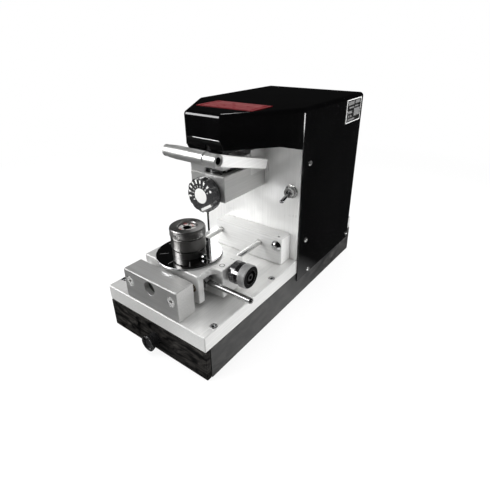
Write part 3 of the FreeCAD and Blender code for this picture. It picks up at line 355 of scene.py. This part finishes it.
def milled_metal(name, tone, stretch, rough, metallic=1.0):
    """Bare milled metal. The stretch is the number of tool marks per metre along X, Y and Z."""
    material, tree, shader, place = blank_material(name, Metallic=metallic)
    scaled = node(tree, "Mapping", {"Vector": place, "Scale": stretch}).outputs[0]
    marks = use(tree, cutter_marks, {"Vector": scaled})
    hands = use(tree, smudges, {"Vector": place, "Scale": 28.0})
    askew = use(tree, slants, {"Normal": place.node.outputs["Normal"]})
    shade = spread(tree, marks.outputs["Shade"], 0.3, 0.7)
    # Brighter along the edges: partly burnish, partly painted highlight.
    set_metal_colour(tree, shader, place, shade, dull=shaded(tone, share=0.80), tone=tone,
                     bright=shaded(tone, share=1.12), reach=0.7 * MM)
    streak_rough, chamfer_rough = 0.12, 0.45
    streaks = math_of(tree, "MULTIPLY", marks.outputs["Shade"], streak_rough)
    chamfers = math_of(tree, "MULTIPLY", askew.outputs["Mask"], chamfer_rough)
    set_gloss(tree, shader, hands.outputs["Mask"], rough, streaks, chamfers)
    set_bump(tree, shader, marks.outputs["Height"], strength=0.25, distance=0.02 * MM,
             round_edges=0.4 * MM)
    return material


def bevel_dullness(tree, facets, axis, dullness):
    """More roughness on the faces that lie askew to a turned piece's axis."""
    lean = node(tree, "VectorMath", {0: facets, 1: axis}, operation="DOT_PRODUCT").outputs["Value"]
    lean = math_of(tree, "ABSOLUTE", lean)
    askew = math_of(tree, "MINIMUM", lean, math_of(tree, "SUBTRACT", 1.0, lean))
    return spread(tree, askew, 0.08, 0.25, 0.0, dullness)


def turned_metal(name, tone, centre, axis, rough=(0.18, 0.34), rings=5000.0, metallic=1.0,
                 bevel_dull=0.0):
    """Metal finished on a lathe, with fine rings about an axis through a centre."""
    material, tree, shader, place = blank_material(name, Metallic=metallic)
    tilt = Vector(axis).rotation_difference(Vector(UP)).to_euler()
    moved = node(tree, "VectorMath", {0: place, 1: centre}, operation="SUBTRACT").outputs[0]
    turned = node(tree, "Mapping", {"Vector": moved, "Rotation": tuple(tilt)}).outputs[0]
    marks = use(tree, lathe_rings, {"Vector": turned, "Rings": rings})
    hands = use(tree, smudges, {"Vector": place, "Scale": 60.0})
    # Brighter along the edges: partly burnish, partly painted highlight.
    set_metal_colour(tree, shader, place, marks.outputs["Shade"], dull=shaded(tone, share=0.72),
                     tone=tone, bright=shaded(tone, share=1.5, lift=0.05), reach=0.5 * MM)
    extras = []
    if bevel_dull:
        extras = [bevel_dullness(tree, place.node.outputs["Normal"], axis, bevel_dull)]
    set_gloss(tree, shader, hands.outputs["Mask"], rough, *extras)
    set_bump(tree, shader, marks.outputs["Height"], strength=0.18, distance=0.01 * MM,
             round_edges=0.25 * MM)
    return material


def enamel(name, tone, rough, peel, wear, specular, dust=0.003):
    """Sprayed enamel with a fine orange peel, dust in the gloss and rubbed edges."""
    material, tree, shader, place = blank_material(name, Specular_IOR_Level=specular)
    hands = use(tree, smudges, {"Vector": place, "Scale": 14.0}).outputs["Mask"]
    colour = blend_of(tree, hands, tone, shaded(tone, share=1.0, lift=dust))
    set_paint_colour(tree, shader, place, colour, wear)
    set_gloss(tree, shader, hands, rough)
    set_peel(tree, shader, place, scale=peel)
    return material


def rubbed_enamel(name, tone, pale, stretch, rough, specular):
    """Thin black finish with smoky streaks. The stretch is the streaks' number per metre."""
    material, tree, shader, place = blank_material(name, Specular_IOR_Level=specular)
    scaled = node(tree, "Mapping", {"Vector": place, "Scale": stretch}).outputs[0]
    smoke = use(tree, smoky_streaks, {"Vector": scaled}).outputs["Mask"]
    set_paint_colour(tree, shader, place, blend_of(tree, smoke, tone, pale), wear=0.35)
    set_gloss(tree, shader, smoke, rough)
    set_peel(tree, shader, place, scale=1600.0)
    return material


def moulded(name, tone, rough=(0.40, 0.60), grain=2500.0, specular=0.4):
    """Moulded or printed surface with a fine grain."""
    material, tree, shader, place = blank_material(name, Specular_IOR_Level=specular)
    speck = use(tree, fine_grain, {"Vector": place, "Scale": grain, "Detail": 3.0})
    hands = use(tree, smudges, {"Vector": place, "Scale": 70.0})
    colour = blend_of(tree, speck.outputs["Height"], shaded(tone, share=0.78), tone)
    tree.links.new(colour, shader.inputs["Base Color"])
    set_gloss(tree, shader, hands.outputs["Mask"], rough)
    set_bump(tree, shader, speck.outputs["Height"], strength=0.15, distance=0.02 * MM)
    return material


def node_centre(name):
    """The middle of a CAD node."""
    low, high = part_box(name)
    return (Vector(low) + Vector(high)) / 2


chuck_axis = node_centre("dial_disc")
depth_axis = node_centre("depth_knob")
plunger_axis = node_centre("plunger_knob")
grip_axis = node_centre("feed_grip")
machine_centre = Vector()

plate_metal = milled_metal("milled plate", plate_tone, along_y, (0.24, 0.36), 0.60)
block_metal = milled_metal("milled block", aluminium_tone, along_x, (0.28, 0.36), 0.88)
rear_metal = milled_metal("milled rear block", aluminium_tone, along_x, (0.46, 0.56), 0.50)
carriage_metal = milled_metal("milled carriage", aluminium_tone, along_x, (0.26, 0.36), 0.66)
panel_metal = milled_metal("brushed panel", aluminium_tone, along_z, (0.22, 0.32), 0.34)
head_metal = milled_metal("milled head", head_tone, along_y, (0.30, 0.42), 0.85)
arm_metal = milled_metal("drawn bar", arm_tone, along_y, (0.45, 0.58), 0.35)
grip_metal = turned_metal("turned grip", arm_tone, grip_axis, RIGHT, (0.36, 0.44), metallic=0.9)
rod_metal = turned_metal("ground rod", aluminium_tone, machine_centre, REAR, (0.12, 0.20),
                         rings=60.0, metallic=0.90)
steel_metal = turned_metal("turned steel", steel_tone, chuck_axis, UP)
mirror_metal = turned_metal("polished disc", mirror_tone, chuck_axis, UP, (0.03, 0.08),
                            rings=500.0, bevel_dull=0.4)
blued_metal = turned_metal("blued steel", blued_tone, chuck_axis, UP, (0.32, 0.40))
lever_metal = turned_metal("lever steel", grey_steel_tone, machine_centre, RIGHT, (0.26, 0.34),
                           rings=60.0)
bronze_metal = turned_metal("bronze", bronze_tone, machine_centre, REAR)
screw_metal = turned_metal("black screw steel", black_steel_tone, machine_centre, UP, (0.3, 0.5))
bright_screw = turned_metal("bright screw steel", steel_tone, machine_centre, UP, (0.2, 0.34))
chrome_metal = turned_metal("polished chrome", chrome_tone, machine_centre, UP, (0.06, 0.14),
                            rings=600.0)
nickel_metal = turned_metal("bright nickel", nickel_tone, machine_centre, REAR, (0.10, 0.18),
                            rings=900.0, metallic=0.88)
cap_screw_metal = milled_metal("cap screw steel", head_tone, along_z, (0.40, 0.50), 0.65)
cap_metal = turned_metal("blued cap", cap_tone, chuck_axis, UP, (0.34, 0.44))
knurl_metal = turned_metal("knurled rim", knurl_tone, plunger_axis, RIGHT, (0.45, 0.55),
                           metallic=0.7)
hood_enamel = enamel("gloss enamel", enamel_black, (0.08, 0.16), peel=900.0, wear=0.12,
                     specular=0.50, dust=0.0008)
# Bare metal for the cover's fold, a painted highlight along its crest.
fold_highlight_metal = milled_metal("fold highlight metal", grey_steel_tone, along_x, (0.10, 0.16))
base_enamel = rubbed_enamel("rubbed base", base_black, base_smoke, (36.0, 26.0, 60.0),
                            (0.34, 0.55), specular=0.26)
drawer_enamel = rubbed_enamel("rubbed drawer", enamel_black, drawer_smoke, (34.0, 34.0, 150.0),
                              (0.40, 0.60), specular=0.03)
# The pull's rubbed edges are partly wear, partly a painted highlight of its rim.
worn_highlit_pull_enamel = enamel("worn pull with painted edge highlight", satin_black, (0.16, 0.26), peel=2500.0, wear=0.8, specular=0.50)
motor_enamel = enamel("satin enamel", satin_black, (0.30, 0.50), peel=1600.0, wear=0.35,
                      specular=0.30, dust=0.010)
collet_metal = milled_metal("collet jaws", collet_tone, along_z, (0.42, 0.55), 0.7)
knob_black = enamel("anodised knob", anodised_black, (0.13, 0.20), peel=3000.0, wear=0.6,
                    specular=0.9)
black_plastic = moulded("black plastic", plastic_black, (0.25, 0.45))
dull_black = enamel("dull black", enamel_black, (0.50, 0.60), peel=2500.0, wear=0.0,
                    specular=0.08)
black_print = moulded("black print", print_black)
belt_rubber = moulded("belt rubber", rubber_black, (0.6, 0.8), grain=1500.0)
white_print = moulded("white print", print_white)
grey_print = moulded("engraved line", line_grey)
dark_line = moulded("dark line", line_black)
red_label = moulded("red label", label_red, (0.40, 0.55), specular=0.1)
grey_bar = moulded("grey bars", bar_grey)
pale_print = moulded("pale print", label_pale, specular=0.1)
red_paint = moulded("red paint", paint_red, (0.35, 0.50))
silver_label = milled_metal("etched plate", etched_tone, along_y, (0.3, 0.4), 0.3)

finishes = {
    "base_frame": base_enamel, "base_plate": plate_metal, "plate_screws": bright_screw,
    "drawer_tray": steel_metal, "drawer_front": drawer_enamel, "drawer_pull": worn_highlit_pull_enamel,
    "frame_bolts": screw_metal, "cap_screws": cap_screw_metal, "front_rod_block": block_metal,
    "rear_rod_block": rear_metal, "guide_rods": rod_metal, "stop_button": chrome_metal,
    "carriage_block": carriage_metal, "guide_bushes": bronze_metal, "pointer_pin": carriage_metal,
    "clamp_ring": steel_metal, "clamp_lever": lever_metal, "work_spindle": steel_metal,
    "spindle_retainer": steel_metal, "dial_disc": mirror_metal, "chuck_body": blued_metal,
    "lock_screw": chrome_metal, "chuck_collet": collet_metal, "chuck_cap": cap_metal,
    "plunger_housing": knob_black, "plunger_pin": lever_metal, "plunger_knob": knob_black,
    "plunger_spring": chrome_metal, "column_panel": panel_metal, "gusset_plates": panel_metal,
    "hood_cover": hood_enamel, "cover_screws": nickel_metal, "name_plate": red_label,
    "rating_plate": silver_label, "power_inlet": black_plastic, "head_block": head_metal,
    "fulcrum_block": block_metal, "bridge_plate": block_metal, "pulley_bearing": steel_metal,
    "quill_sleeve": steel_metal, "quill_bearings": steel_metal, "cutter_arbor": steel_metal,
    "collet_nut": blued_metal, "cutter": chrome_metal, "spindle_pulley": knob_black,
    "motor_pulley": knob_black, "drive_belt": belt_rubber, "motor_body": motor_enamel,
    "motor_shaft": steel_metal, "rotor_core": steel_metal, "feed_arm": arm_metal,
    "feed_grip": grip_metal, "pivot_shaft": steel_metal, "feed_yoke": steel_metal,
    "lever_spring": steel_metal, "depth_knob": knob_black, "depth_shaft": steel_metal,
    "switch_body": nickel_metal, "switch_nut": nickel_metal, "switch_bat": chrome_metal,
}


def dress(obj, material):
    """The object's one material."""
    obj.data.materials.clear()
    obj.data.materials.append(material)


for name, finish in finishes.items():
    dress(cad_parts[name], finish)


def piece(name, bm, body, material):
    """A finished piece with flat faces made from a bmesh, riding on a body."""
    mesh = bpy.data.meshes.new(name)
    bm.to_mesh(mesh)
    bm.free()
    for polygon in mesh.polygons:
        polygon.use_smooth = False
    obj = bpy.data.objects.new(name, mesh)
    bpy.context.scene.collection.objects.link(obj)
    dress(obj, material)
    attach(obj, body)
    return obj


def facing(centre, normal, up):
    """A place whose Z is the normal and whose Y is as near to up as can be."""
    z = Vector(normal).normalized()
    x = Vector(up).cross(z).normalized()
    y = z.cross(x)
    turn = Matrix((x, y, z)).transposed().to_4x4()
    return Matrix.Translation(centre) @ turn


def on_dial(face, angle, out):
    """A place on a dial, at an angle in degrees clockwise from its top and some way out."""
    turn = Matrix.Rotation(-math.radians(angle), 4, "Z")
    return face @ turn @ Matrix.Translation((0, out, 0))


def chuck_top(name):
    """The place in the middle of the top of a piece of the chuck or its dial."""
    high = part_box(name)[1]
    return facing((chuck_axis.x, chuck_axis.y, high[2]), UP, REAR)


def add_bar(bm, length, near_width, far_width, thickness, place):
    """A flat bar along +Y that may taper, standing on the XY plane of its place."""
    made = bmesh.ops.create_cube(bm, size=1.0)["verts"]
    for vert in made:
        width = far_width if vert.co.y > 0 else near_width
        vert.co.x *= width
        vert.co.y = (vert.co.y + 0.5) * length
        vert.co.z = (vert.co.z + 0.5) * thickness
    bmesh.ops.transform(bm, matrix=place, verts=made)


def add_patch(bm, face, across, up, width, height, thickness):
    """A flat patch on a face, placed by its centre."""
    foot = face @ Matrix.Translation((across, up - height / 2, 0))
    add_bar(bm, height, width, width, thickness, foot)


def add_border(bm, face, width, height, line, thickness):
    """A thin frame round a face's centre."""
    for side in (-1, 1):
        add_patch(bm, face, side * (width - line) / 2, 0, line, height, thickness)
        add_patch(bm, face, 0, side * (height - line) / 2, width, line, thickness)


def add_disc(bm, radius, thickness, place, segments):
    """A disc standing on the XY plane of its place."""
    made = bmesh.ops.create_cone(bm, cap_ends=True, segments=segments, radius1=radius,
                                 radius2=radius, depth=thickness)["verts"]
    lift = Matrix.Translation((0, 0, thickness / 2))
    bmesh.ops.transform(bm, matrix=place @ lift, verts=made)


def add_rod(bm, start, end, radius):
    """A thin round rod between two places."""
    along = Vector(end) - Vector(start)
    add_disc(bm, radius, along.length, facing(start, along, UP), rod_facets)


def add_text(bm, words, size, place, thickness):
    """Plain raised characters, centred on their place."""
    curve = bpy.data.curves.new("characters", "FONT")
    curve.body = words
    curve.size = size
    curve.extrude = thickness / 2
    curve.align_x = "CENTER"
    curve.align_y = "CENTER"
    holder = bpy.data.objects.new("characters", curve)
    bpy.context.scene.collection.objects.link(holder)
    bpy.context.view_layer.update()
    shown = holder.evaluated_get(bpy.context.evaluated_depsgraph_get())
    mesh = bpy.data.meshes.new_from_object(shown)
    mesh.transform(place @ Matrix.Translation((0, 0, thickness / 2)))
    bm.from_mesh(mesh)
    bpy.data.objects.remove(holder)
    bpy.data.curves.remove(curve)
    bpy.data.meshes.remove(mesh)


def spun(bm, profile, steps):
    """A surface of revolution about Z from a run of (radius, height) points."""
    verts = [bm.verts.new((radius, 0, height)) for radius, height in profile]
    edges = [bm.edges.new(pair) for pair in zip(verts, verts[1:])]
    bmesh.ops.spin(bm, geom=verts + edges, cent=(0, 0, 0), axis=UP, angle=TURN,
                   steps=steps, use_merge=True)
    bmesh.ops.remove_doubles(bm, verts=bm.verts, dist=weld_reach)
    bmesh.ops.recalc_face_normals(bm, faces=bm.faces)


def spun_ring(bm, inner, outer, thickness, steps, place):
    """A flat ring standing on the XY plane of its place."""
    spun(bm, [(inner, 0), (outer, 0), (outer, thickness), (inner, thickness), (inner, 0)], steps)
    bmesh.ops.transform(bm, matrix=place, verts=bm.verts)


def band(radius, low, high, rows):
    """The points of an upright line that a knurl is cut into."""
    step = (high - low) / rows
    return [(radius, low + step * row) for row in range(rows + 1)]


def knurl(bm, radius, low, high, columns, rows):
    """Pushes every other vertex of a band inwards, so that it becomes a diamond knurl."""
    step = (high - low) / rows
    shrink = (radius - knurl_depth) / radius
    for vert in bm.verts:
        out = math.hypot(vert.co.x, vert.co.y)
        if abs(out - radius) > knurl_reach or not low < vert.co.z < high:
            continue
        column = round(math.atan2(vert.co.y, vert.co.x) / TURN * columns)
        row = round((vert.co.z - low) / step)
        if (column + row) % 2:
            vert.co.x *= shrink
            vert.co.y *= shrink


def lining(name, body, mouth, normal, material, radius, depth, setback):
    """Painted shade: a dark sheet inside a blind hole, set back from its bright mouth."""
    up = REAR if normal[2] else UP
    place = facing(Vector(mouth) - depth * Vector(normal), normal, up)
    inner = radius - 2 * print_lift
    wall = depth - setback
    profile = [(0, 0), (radius, 0), (radius, wall), (inner, wall), (inner, print_lift),
               (0, print_lift)]
    bm = bmesh.new()
    spun(bm, profile, fine_facets)
    bmesh.ops.transform(bm, matrix=place, verts=bm.verts)
    piece(name, bm, body, material)


def chuck_cap_piece():
    """The chuck's cap with its knurl cut in."""
    low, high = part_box("chuck_cap")
    radius = (high[0] - low[0]) / 2
    height = high[2] - low[2]
    inside = 15.05 * MM
    mouth = 10.4 * MM
    wall = 1.9 * MM
    bevel = 1.0 * MM
    rim = radius - knurl_depth
    start = 0.8 * MM
    foot = start * 0.9
    end = height - 2.2 * MM
    shoulder = 0.1 * MM
    profile = [(inside, 0), (rim, 0), (rim, foot)]
    profile += band(radius, start, end, cap_knurl_rows)
    profile += [(rim, end + shoulder), (rim, height - bevel), (rim - bevel, height)]
    profile += [(mouth + bevel, height), (mouth, height - bevel), (mouth, height - wall)]
    profile += [(inside, height - wall), (inside, 0)]
    bm = bmesh.new()
    spun(bm, profile, cap_knurl_columns)
    knurl(bm, radius, start, end, cap_knurl_columns, cap_knurl_rows)
    bmesh.ops.translate(bm, verts=bm.verts, vec=(chuck_axis.x, chuck_axis.y, low[2]))
    cap = piece("knurled_chuck_cap", bm, "chuck_cap", cap_metal)
    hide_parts("chuck_cap")


def plunger_knob_piece():
    """The plunger's knurled knob, the black face and recess in its end, painted shade inside the
    recess, and the nut in there.
    """
    low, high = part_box("plunger_knob")
    radius = (high[2] - low[2]) / 2
    length = high[0] - low[0]
    inner_end = (low[0], plunger_axis.y, plunger_axis.z)
    outer_end = (high[0], plunger_axis.y, plunger_axis.z)
    chamfer = 0.8 * MM
    bore = 8.1 * MM
    pin = 3.0 * MM
    travel = 4.0 * MM
    recess = 7.7 * MM
    recess_depth = 3.0 * MM
    floor = length - recess_depth
    rim = radius - knurl_depth
    start = 1.2 * MM
    end = length - 1.2 * MM
    profile = [(pin, travel), (bore, travel), (bore, 0), (rim - chamfer, 0), (rim, chamfer)]
    profile += band(radius, start, end, knob_knurl_rows)
    profile += [(rim, length - chamfer), (rim - chamfer, length), (recess, length)]
    profile += [(recess, floor), (pin, floor), (pin, travel)]
    bm = bmesh.new()
    spun(bm, profile, knob_knurl_columns)
    knurl(bm, radius, start, end, knob_knurl_columns, knob_knurl_rows)
    bmesh.ops.transform(bm, matrix=facing(inner_end, RIGHT, UP), verts=bm.verts)
    knob = piece("knurled_plunger_knob", bm, "plunger", knurl_metal)
    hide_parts("plunger_knob")

    bm = bmesh.new()
    spun_ring(bm, recess + print_lift, rim - chamfer, print_lift, knob_knurl_columns,
              facing(outer_end, RIGHT, UP))
    piece("plunger_knob_face", bm, "plunger", dull_black)
    # Painted shade: a dark sheet inside the recess in the knob's end.
    lining("plunger_knob_recess_shade", "plunger", outer_end, RIGHT, dull_black,
           radius=recess, depth=recess_depth, setback=0.0)

    nut_bore = 2.2 * MM
    nut_radius = 4.4 * MM
    nut_wall = 2.2 * MM
    nut_height = 2.6 * MM
    nut_bevel = 0.4 * MM
    profile = [(nut_bore, 0), (nut_radius, 0), (nut_radius, nut_wall)]
    profile += [(nut_radius - nut_bevel, nut_height), (nut_bore + nut_bevel, nut_height)]
    profile += [(nut_bore, nut_wall), (nut_bore, 0)]
    seat = (high[0] - recess_depth, plunger_axis.y, plunger_axis.z)
    bm = bmesh.new()
    spun(bm, profile, ring_facets)
    bmesh.ops.transform(bm, matrix=facing(seat, RIGHT, UP), verts=bm.verts)
    piece("plunger_end_nut", bm, "plunger", screw_metal)


def depth_dial_marks():
    """The white centre, digits, wedges, dot and bar on the depth dial's face."""
    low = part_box("depth_knob")[0]
    face = facing((depth_axis.x, low[1], depth_axis.z), FRONT, UP)
    centre_radius = 8.8 * MM
    digit_out, digit_size = 11.2 * MM, 3.4 * MM
    wedge_out, wedge_length = 14.2 * MM, 4.0 * MM
    wedge_near, wedge_far = 1.5 * MM, 2.5 * MM
    dot_angle, dot_out, dot_radius = 62.0, 17.0 * MM, 1.5 * MM
    bar_angle, bar_out = 149.0, 13.1 * MM
    bar_height, bar_width = 2.8 * MM, 17.0 * MM
    bm = bmesh.new()
    add_disc(bm, centre_radius, print_lift, face, fine_facets)
    for index in range(depth_digit_count):
        angle = depth_mark_first + depth_mark_step * index
        add_text(bm, str(index), digit_size, on_dial(face, angle, digit_out), print_lift)
        if 0 < index < depth_digit_count - 1:
            wedge = on_dial(face, angle, wedge_out)
            add_bar(bm, wedge_length, wedge_near, wedge_far, print_lift, wedge)
    add_disc(bm, dot_radius, print_lift, on_dial(face, dot_angle, dot_out), dot_facets)
    add_bar(bm, bar_height, bar_width, bar_width, print_lift, on_dial(face, bar_angle, bar_out))
    piece("depth_dial_print", bm, "depth_dial", white_print)


def work_dial_marks():
    """The fine lines engraved across the work dial."""
    top = chuck_top("dial_disc")
    line_out, line_length, line_width = 23.0 * MM, 10.0 * MM, 0.25 * MM
    bm = bmesh.new()
    for index in range(work_mark_count):
        line = on_dial(top, 360.0 * index / work_mark_count, line_out)
        add_bar(bm, line_length, line_width, line_width, print_lift, line)
    piece("work_dial_lines", bm, "work_head", grey_print)


def carriage_lines():
    """The two index lines on the carriage's top."""
    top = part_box("carriage_block")[1][2]
    plate_front = -173.0 * MM
    line_width = 0.35 * MM
    # Each line's two ends, in mm right of the machine's middle and behind the plate's front
    lines = (((35.2, 64.3), (41.6, 63.3)), ((44.3, 80.7), (50.8, 80.7)))
    bm = bmesh.new()
    for ends in lines:
        first, last = (Vector((x * MM, y * MM + plate_front, top)) for x, y in ends)
        along = facing(first, UP, last - first)
        add_bar(bm, (last - first).length, line_width, line_width, print_lift, along)
    piece("carriage_index_lines", bm, "carriage", dark_line)


def name_label():
    """The red label on the cover's top, with its border and plain bars."""
    low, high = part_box("name_plate")
    width = high[0] - low[0]
    depth = high[1] - low[1]
    middle = Vector(((low[0] + high[0]) / 2, (low[1] + high[1]) / 2, low[2]))
    sheet = high[2] - low[2] - print_lift
    bm = bmesh.new()
    add_patch(bm, facing(middle, UP, REAR), 0, 0, width, depth, sheet)
    label = piece("red_label", bm, "frame", red_label)
    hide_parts("name_plate")

    face = facing(middle + Vector((0, 0, sheet)), UP, REAR)
    margin = 2.0 * MM
    border_line = 0.9 * MM
    gap = 3
    # Each row's place up the label, its bars' height and their lengths, in mm
    rows = (
        (13.2, 2.6, (60,)),
        (6.6, 3.4, (26, 38)),
        (0.4, 2.0, (34, 16, 14)),
        (-5.6, 2.0, (22, 40)),
        (-12.0, 2.6, (18, 20, 22)),
    )
    bm = bmesh.new()
    add_border(bm, face, width - margin, depth - margin, border_line, print_lift)
    for up, tall, lengths in rows:
        across = -(sum(lengths) + gap * (len(lengths) - 1)) / 2
        for length in lengths:
            centre = across + length / 2
            add_patch(bm, face, centre * MM, up * MM, length * MM, tall * MM, print_lift)
            across += length + gap
    piece("red_label_print", bm, "frame", pale_print)


def rating_print():
    """The black field of the side plate and its plain bars."""
    low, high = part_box("rating_plate")
    width = high[1] - low[1]
    height = high[2] - low[2]
    margin = 2.4 * MM
    middle = Vector((high[0], (low[1] + high[1]) / 2, (low[2] + high[2]) / 2))
    face = facing(middle, RIGHT, UP)
    bm = bmesh.new()
    add_patch(bm, face, 0, 0, width - margin, height - margin, print_lift)
    piece("rating_plate_field", bm, "frame", black_print)

    # Each bar's centre across and up the plate, its width and its height, in mm
    bars = (
        (-10.0, 10.0, 19, 4.6), (10.0, 10.4, 13, 4.2), (-8.0, 4.4, 15, 2.0),
        (8.0, 5.0, 11, 2.0), (-13.0, -1.4, 14, 3.2), (-16.0, -6.4, 4, 3.0),
        (-9.0, -6.4, 5, 3.0), (-7.0, -10.8, 22, 2.2), (9.5, -2.6, 18, 10.0),
    )
    field = face @ Matrix.Translation((0, 0, print_lift))
    bm = bmesh.new()
    for across, up, wide, tall in bars:
        add_patch(bm, field, across * MM, up * MM, wide * MM, tall * MM, print_lift)
    piece("rating_plate_print", bm, "frame", grey_bar)


def nose_bend():
    """The fold across the cover's front, above its lip, in bare metal along its crest as a painted
    highlight.
    """
    radius = 0.7 * MM
    sunk = 0.45 * MM
    height = 221.6 * MM
    left, corner, right = -14.4 * MM, 22.4 * MM, 25.0 * MM
    fall = 1.6 * MM
    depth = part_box("hood_cover")[0][1] + sunk
    turn = (corner, depth, height)
    bm = bmesh.new()
    add_rod(bm, (left, depth, height), turn, radius)
    add_rod(bm, turn, (right, depth + fall, height - fall), radius)
    piece("nose_fold_highlight", bm, "frame", fold_highlight_metal)


def hole_linings():
    """Painted shade: dark sheets inside the front block's blind hole, the grip's socket and the
    key's bore.
    """
    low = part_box("front_rod_block")[0]
    sight_height = 26.2 * MM
    lining("sight_hole_painted_shade", "frame", (0, low[1], low[2] + sight_height), FRONT,
           blued_metal, radius=8.2 * MM, depth=14.0 * MM, setback=6.0 * MM)
    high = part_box("feed_grip")[1]
    lining("grip_socket_painted_shade", "feed_lever", (high[0], grip_axis.y, grip_axis.z), RIGHT,
           screw_metal, radius=3.9 * MM, depth=8.0 * MM, setback=1.2 * MM)
    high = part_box("chuck_collet")[1]
    lining("key_bore_painted_shade", "work_head", (chuck_axis.x, chuck_axis.y, high[2]), UP,
           screw_metal, radius=4.8 * MM, depth=12.0 * MM, setback=0.4 * MM)


def pointer_ring():
    """The dark joint round the pin in the carriage's top."""
    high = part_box("carriage_block")[1]
    middle = node_centre("pointer_pin")
    inner = 2.4 * MM
    outer = 3.1 * MM
    bm = bmesh.new()
    spun_ring(bm, inner, outer, print_lift, ring_facets,
              Matrix.Translation((middle.x, middle.y, high[2])))
    piece("pointer_pin_ring", bm, "carriage", dark_line)


def key_marks():
    """Short red touches of paint on the collet's jaws."""
    top = chuck_top("chuck_collet")
    mark_width = 0.7 * MM
    # Each mark's angle, its way out from the centre and its length, in degrees and mm
    marks = ((300.0, 8.6, 3.0), (350.0, 8.2, 2.6), (200.0, 7.6, 3.4), (20.0, 6.4, 2.2))
    bm = bmesh.new()
    for angle, out, length in marks:
        spot = on_dial(top, angle, out * MM)
        add_bar(bm, mark_width, length * MM, length * MM, print_lift, spot)
    piece("collet_paint_marks", bm, "work_head", red_paint)


def collet_slits():
    """Painted shade: dark bars for the slits between the collet's jaws."""
    top = chuck_top("chuck_collet")
    slit_angles = (40.0, 160.0, 280.0)
    slit_out, slit_length = 4.6 * MM, 5.2 * MM
    slit_near, slit_far = 2.4 * MM, 1.4 * MM
    bm = bmesh.new()
    for angle in slit_angles:
        slit = on_dial(top, angle, slit_out)
        add_bar(bm, slit_length, slit_near, slit_far, print_lift, slit)
    piece("collet_slits", bm, "work_head", dark_line)


def stop_screw_socket():
    """Painted shade: a dark disc for the socket of the small screw in the rear block's top."""
    low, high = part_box("rear_rod_block")
    middle = node_centre("stop_button")
    from_front = 6.1 * MM
    sunk = 0.8 * MM
    radius = 1.5 * MM
    place = Matrix.Translation((middle.x, low[1] + from_front, high[2] - sunk))
    bm = bmesh.new()
    add_disc(bm, radius, print_lift, place, rod_facets)
    piece("stop_screw_socket", bm, "frame", dark_line)


def seen_directly(tree, path):
    """A mask of the rays that come from the camera, straight or through something clear."""
    return math_of(tree, "MAXIMUM", path["Is Camera Ray"], path["Is Transmission Ray"])


def add_floor():
    """A pale floor that shows white to the camera and keeps the shadow; in polished metal it is
    dark but for glowing patches, painted reflections.
    """
    bm = bmesh.new()
    bmesh.ops.create_grid(bm, x_segments=1, y_segments=1, size=floor_size)
    mesh = bpy.data.meshes.new("floor")
    bm.to_mesh(mesh)
    bm.free()
    floor = bpy.data.objects.new("floor", mesh)
    bpy.context.scene.collection.objects.link(floor)
    material = bpy.data.materials.new("studio floor")
    material.use_nodes = True
    tree = material.node_tree
    tree.nodes.clear()
    path = node(tree, "LightPath").outputs
    place = node(tree, "TexCoord").outputs["Object"]
    seen = seen_directly(tree, path)
    mirrored = path["Is Glossy Ray"]
    far = node(tree, "VectorMath", {0: place}, operation="LENGTH").outputs["Value"]
    whiteness = spread(tree, far, floor_near, floor_far, floor_near_white, 1.0)
    share = math_of(tree, "MAXIMUM", math_of(tree, "MULTIPLY", seen, whiteness), mirrored)
    # Painted reflections: patches of floor that glow only in polished metal.
    pale = floor_dark
    for centre, inner, outer, level in glow_patches_in_reflections:
        off = node(tree, "VectorMath", {0: place, 1: centre}, operation="DISTANCE").outputs["Value"]
        pale = math_of(tree, "MAXIMUM", pale, spread(tree, off, inner, outer, level, floor_dark))
    strength = math_of(tree, "MAXIMUM", seen, math_of(tree, "MULTIPLY", mirrored, pale))
    paint = node(tree, "BsdfDiffuse", {"Color": floor_paint})
    glow = node(tree, "Emission", {"Color": plain_white, "Strength": strength})
    mix = node(tree, "MixShader", {0: share, 1: paint.outputs[0], 2: glow.outputs[0]})
    node(tree, "OutputMaterial", {"Surface": mix.outputs[0]})
    mesh.materials.append(material)


def add_world():
    """White behind the object, a dark room in reflections and a soft light from all round."""
    world = bpy.data.worlds.new("studio")
    bpy.context.scene.world = world
    world.use_nodes = True
    tree = world.node_tree
    tree.nodes.clear()
    path = node(tree, "LightPath").outputs
    soft, dark, white = (
        node(tree, "Background", {"Color": plain_white, "Strength": strength}).outputs[0]
        for strength in (room_light, room_in_reflections, 1.0)
    )
    room = node(tree, "MixShader", {0: path["Is Glossy Ray"], 1: soft, 2: dark}).outputs[0]
    mix = node(tree, "MixShader", {0: seen_directly(tree, path), 1: room, 2: white})
    node(tree, "OutputWorld", {"Surface": mix.outputs[0]})


def add_lamp(name, place, aim, size, power, mirrored):
    """A soft lamp aimed at a place. One that is not mirrored stays out of reflections."""
    lamp = bpy.data.lights.new(name, "AREA")
    lamp.shape = "RECTANGLE"
    lamp.size, lamp.size_y = size
    lamp.energy = power
    obj = bpy.data.objects.new(name, lamp)
    obj.location = place
    obj.rotation_euler = (Vector(aim) - Vector(place)).to_track_quat("-Z", "Y").to_euler()
    obj.visible_camera = False
    obj.visible_glossy = mirrored
    bpy.context.scene.collection.objects.link(obj)


def add_camera():
    """The camera at the photograph's viewing angle."""
    data = bpy.data.cameras.new("camera")
    data.lens = camera_lens
    data.shift_x, data.shift_y = camera_shift
    data.clip_start = camera_near
    camera = bpy.data.objects.new("camera", data)
    camera.location = camera_place
    camera.rotation_euler = [math.radians(angle) for angle in camera_turn]
    bpy.context.scene.collection.objects.link(camera)
    bpy.context.scene.camera = camera


chuck_cap_piece()
plunger_knob_piece()
depth_dial_marks()
work_dial_marks()
carriage_lines()
name_label()
rating_print()
nose_bend()
hole_linings()
pointer_ring()
key_marks()
collet_slits()
stop_screw_socket()
add_floor()
add_world()
for lamp in lamps:
    add_lamp(*lamp)
add_camera()
bpy.context.scene.view_settings.view_transform = "Standard"
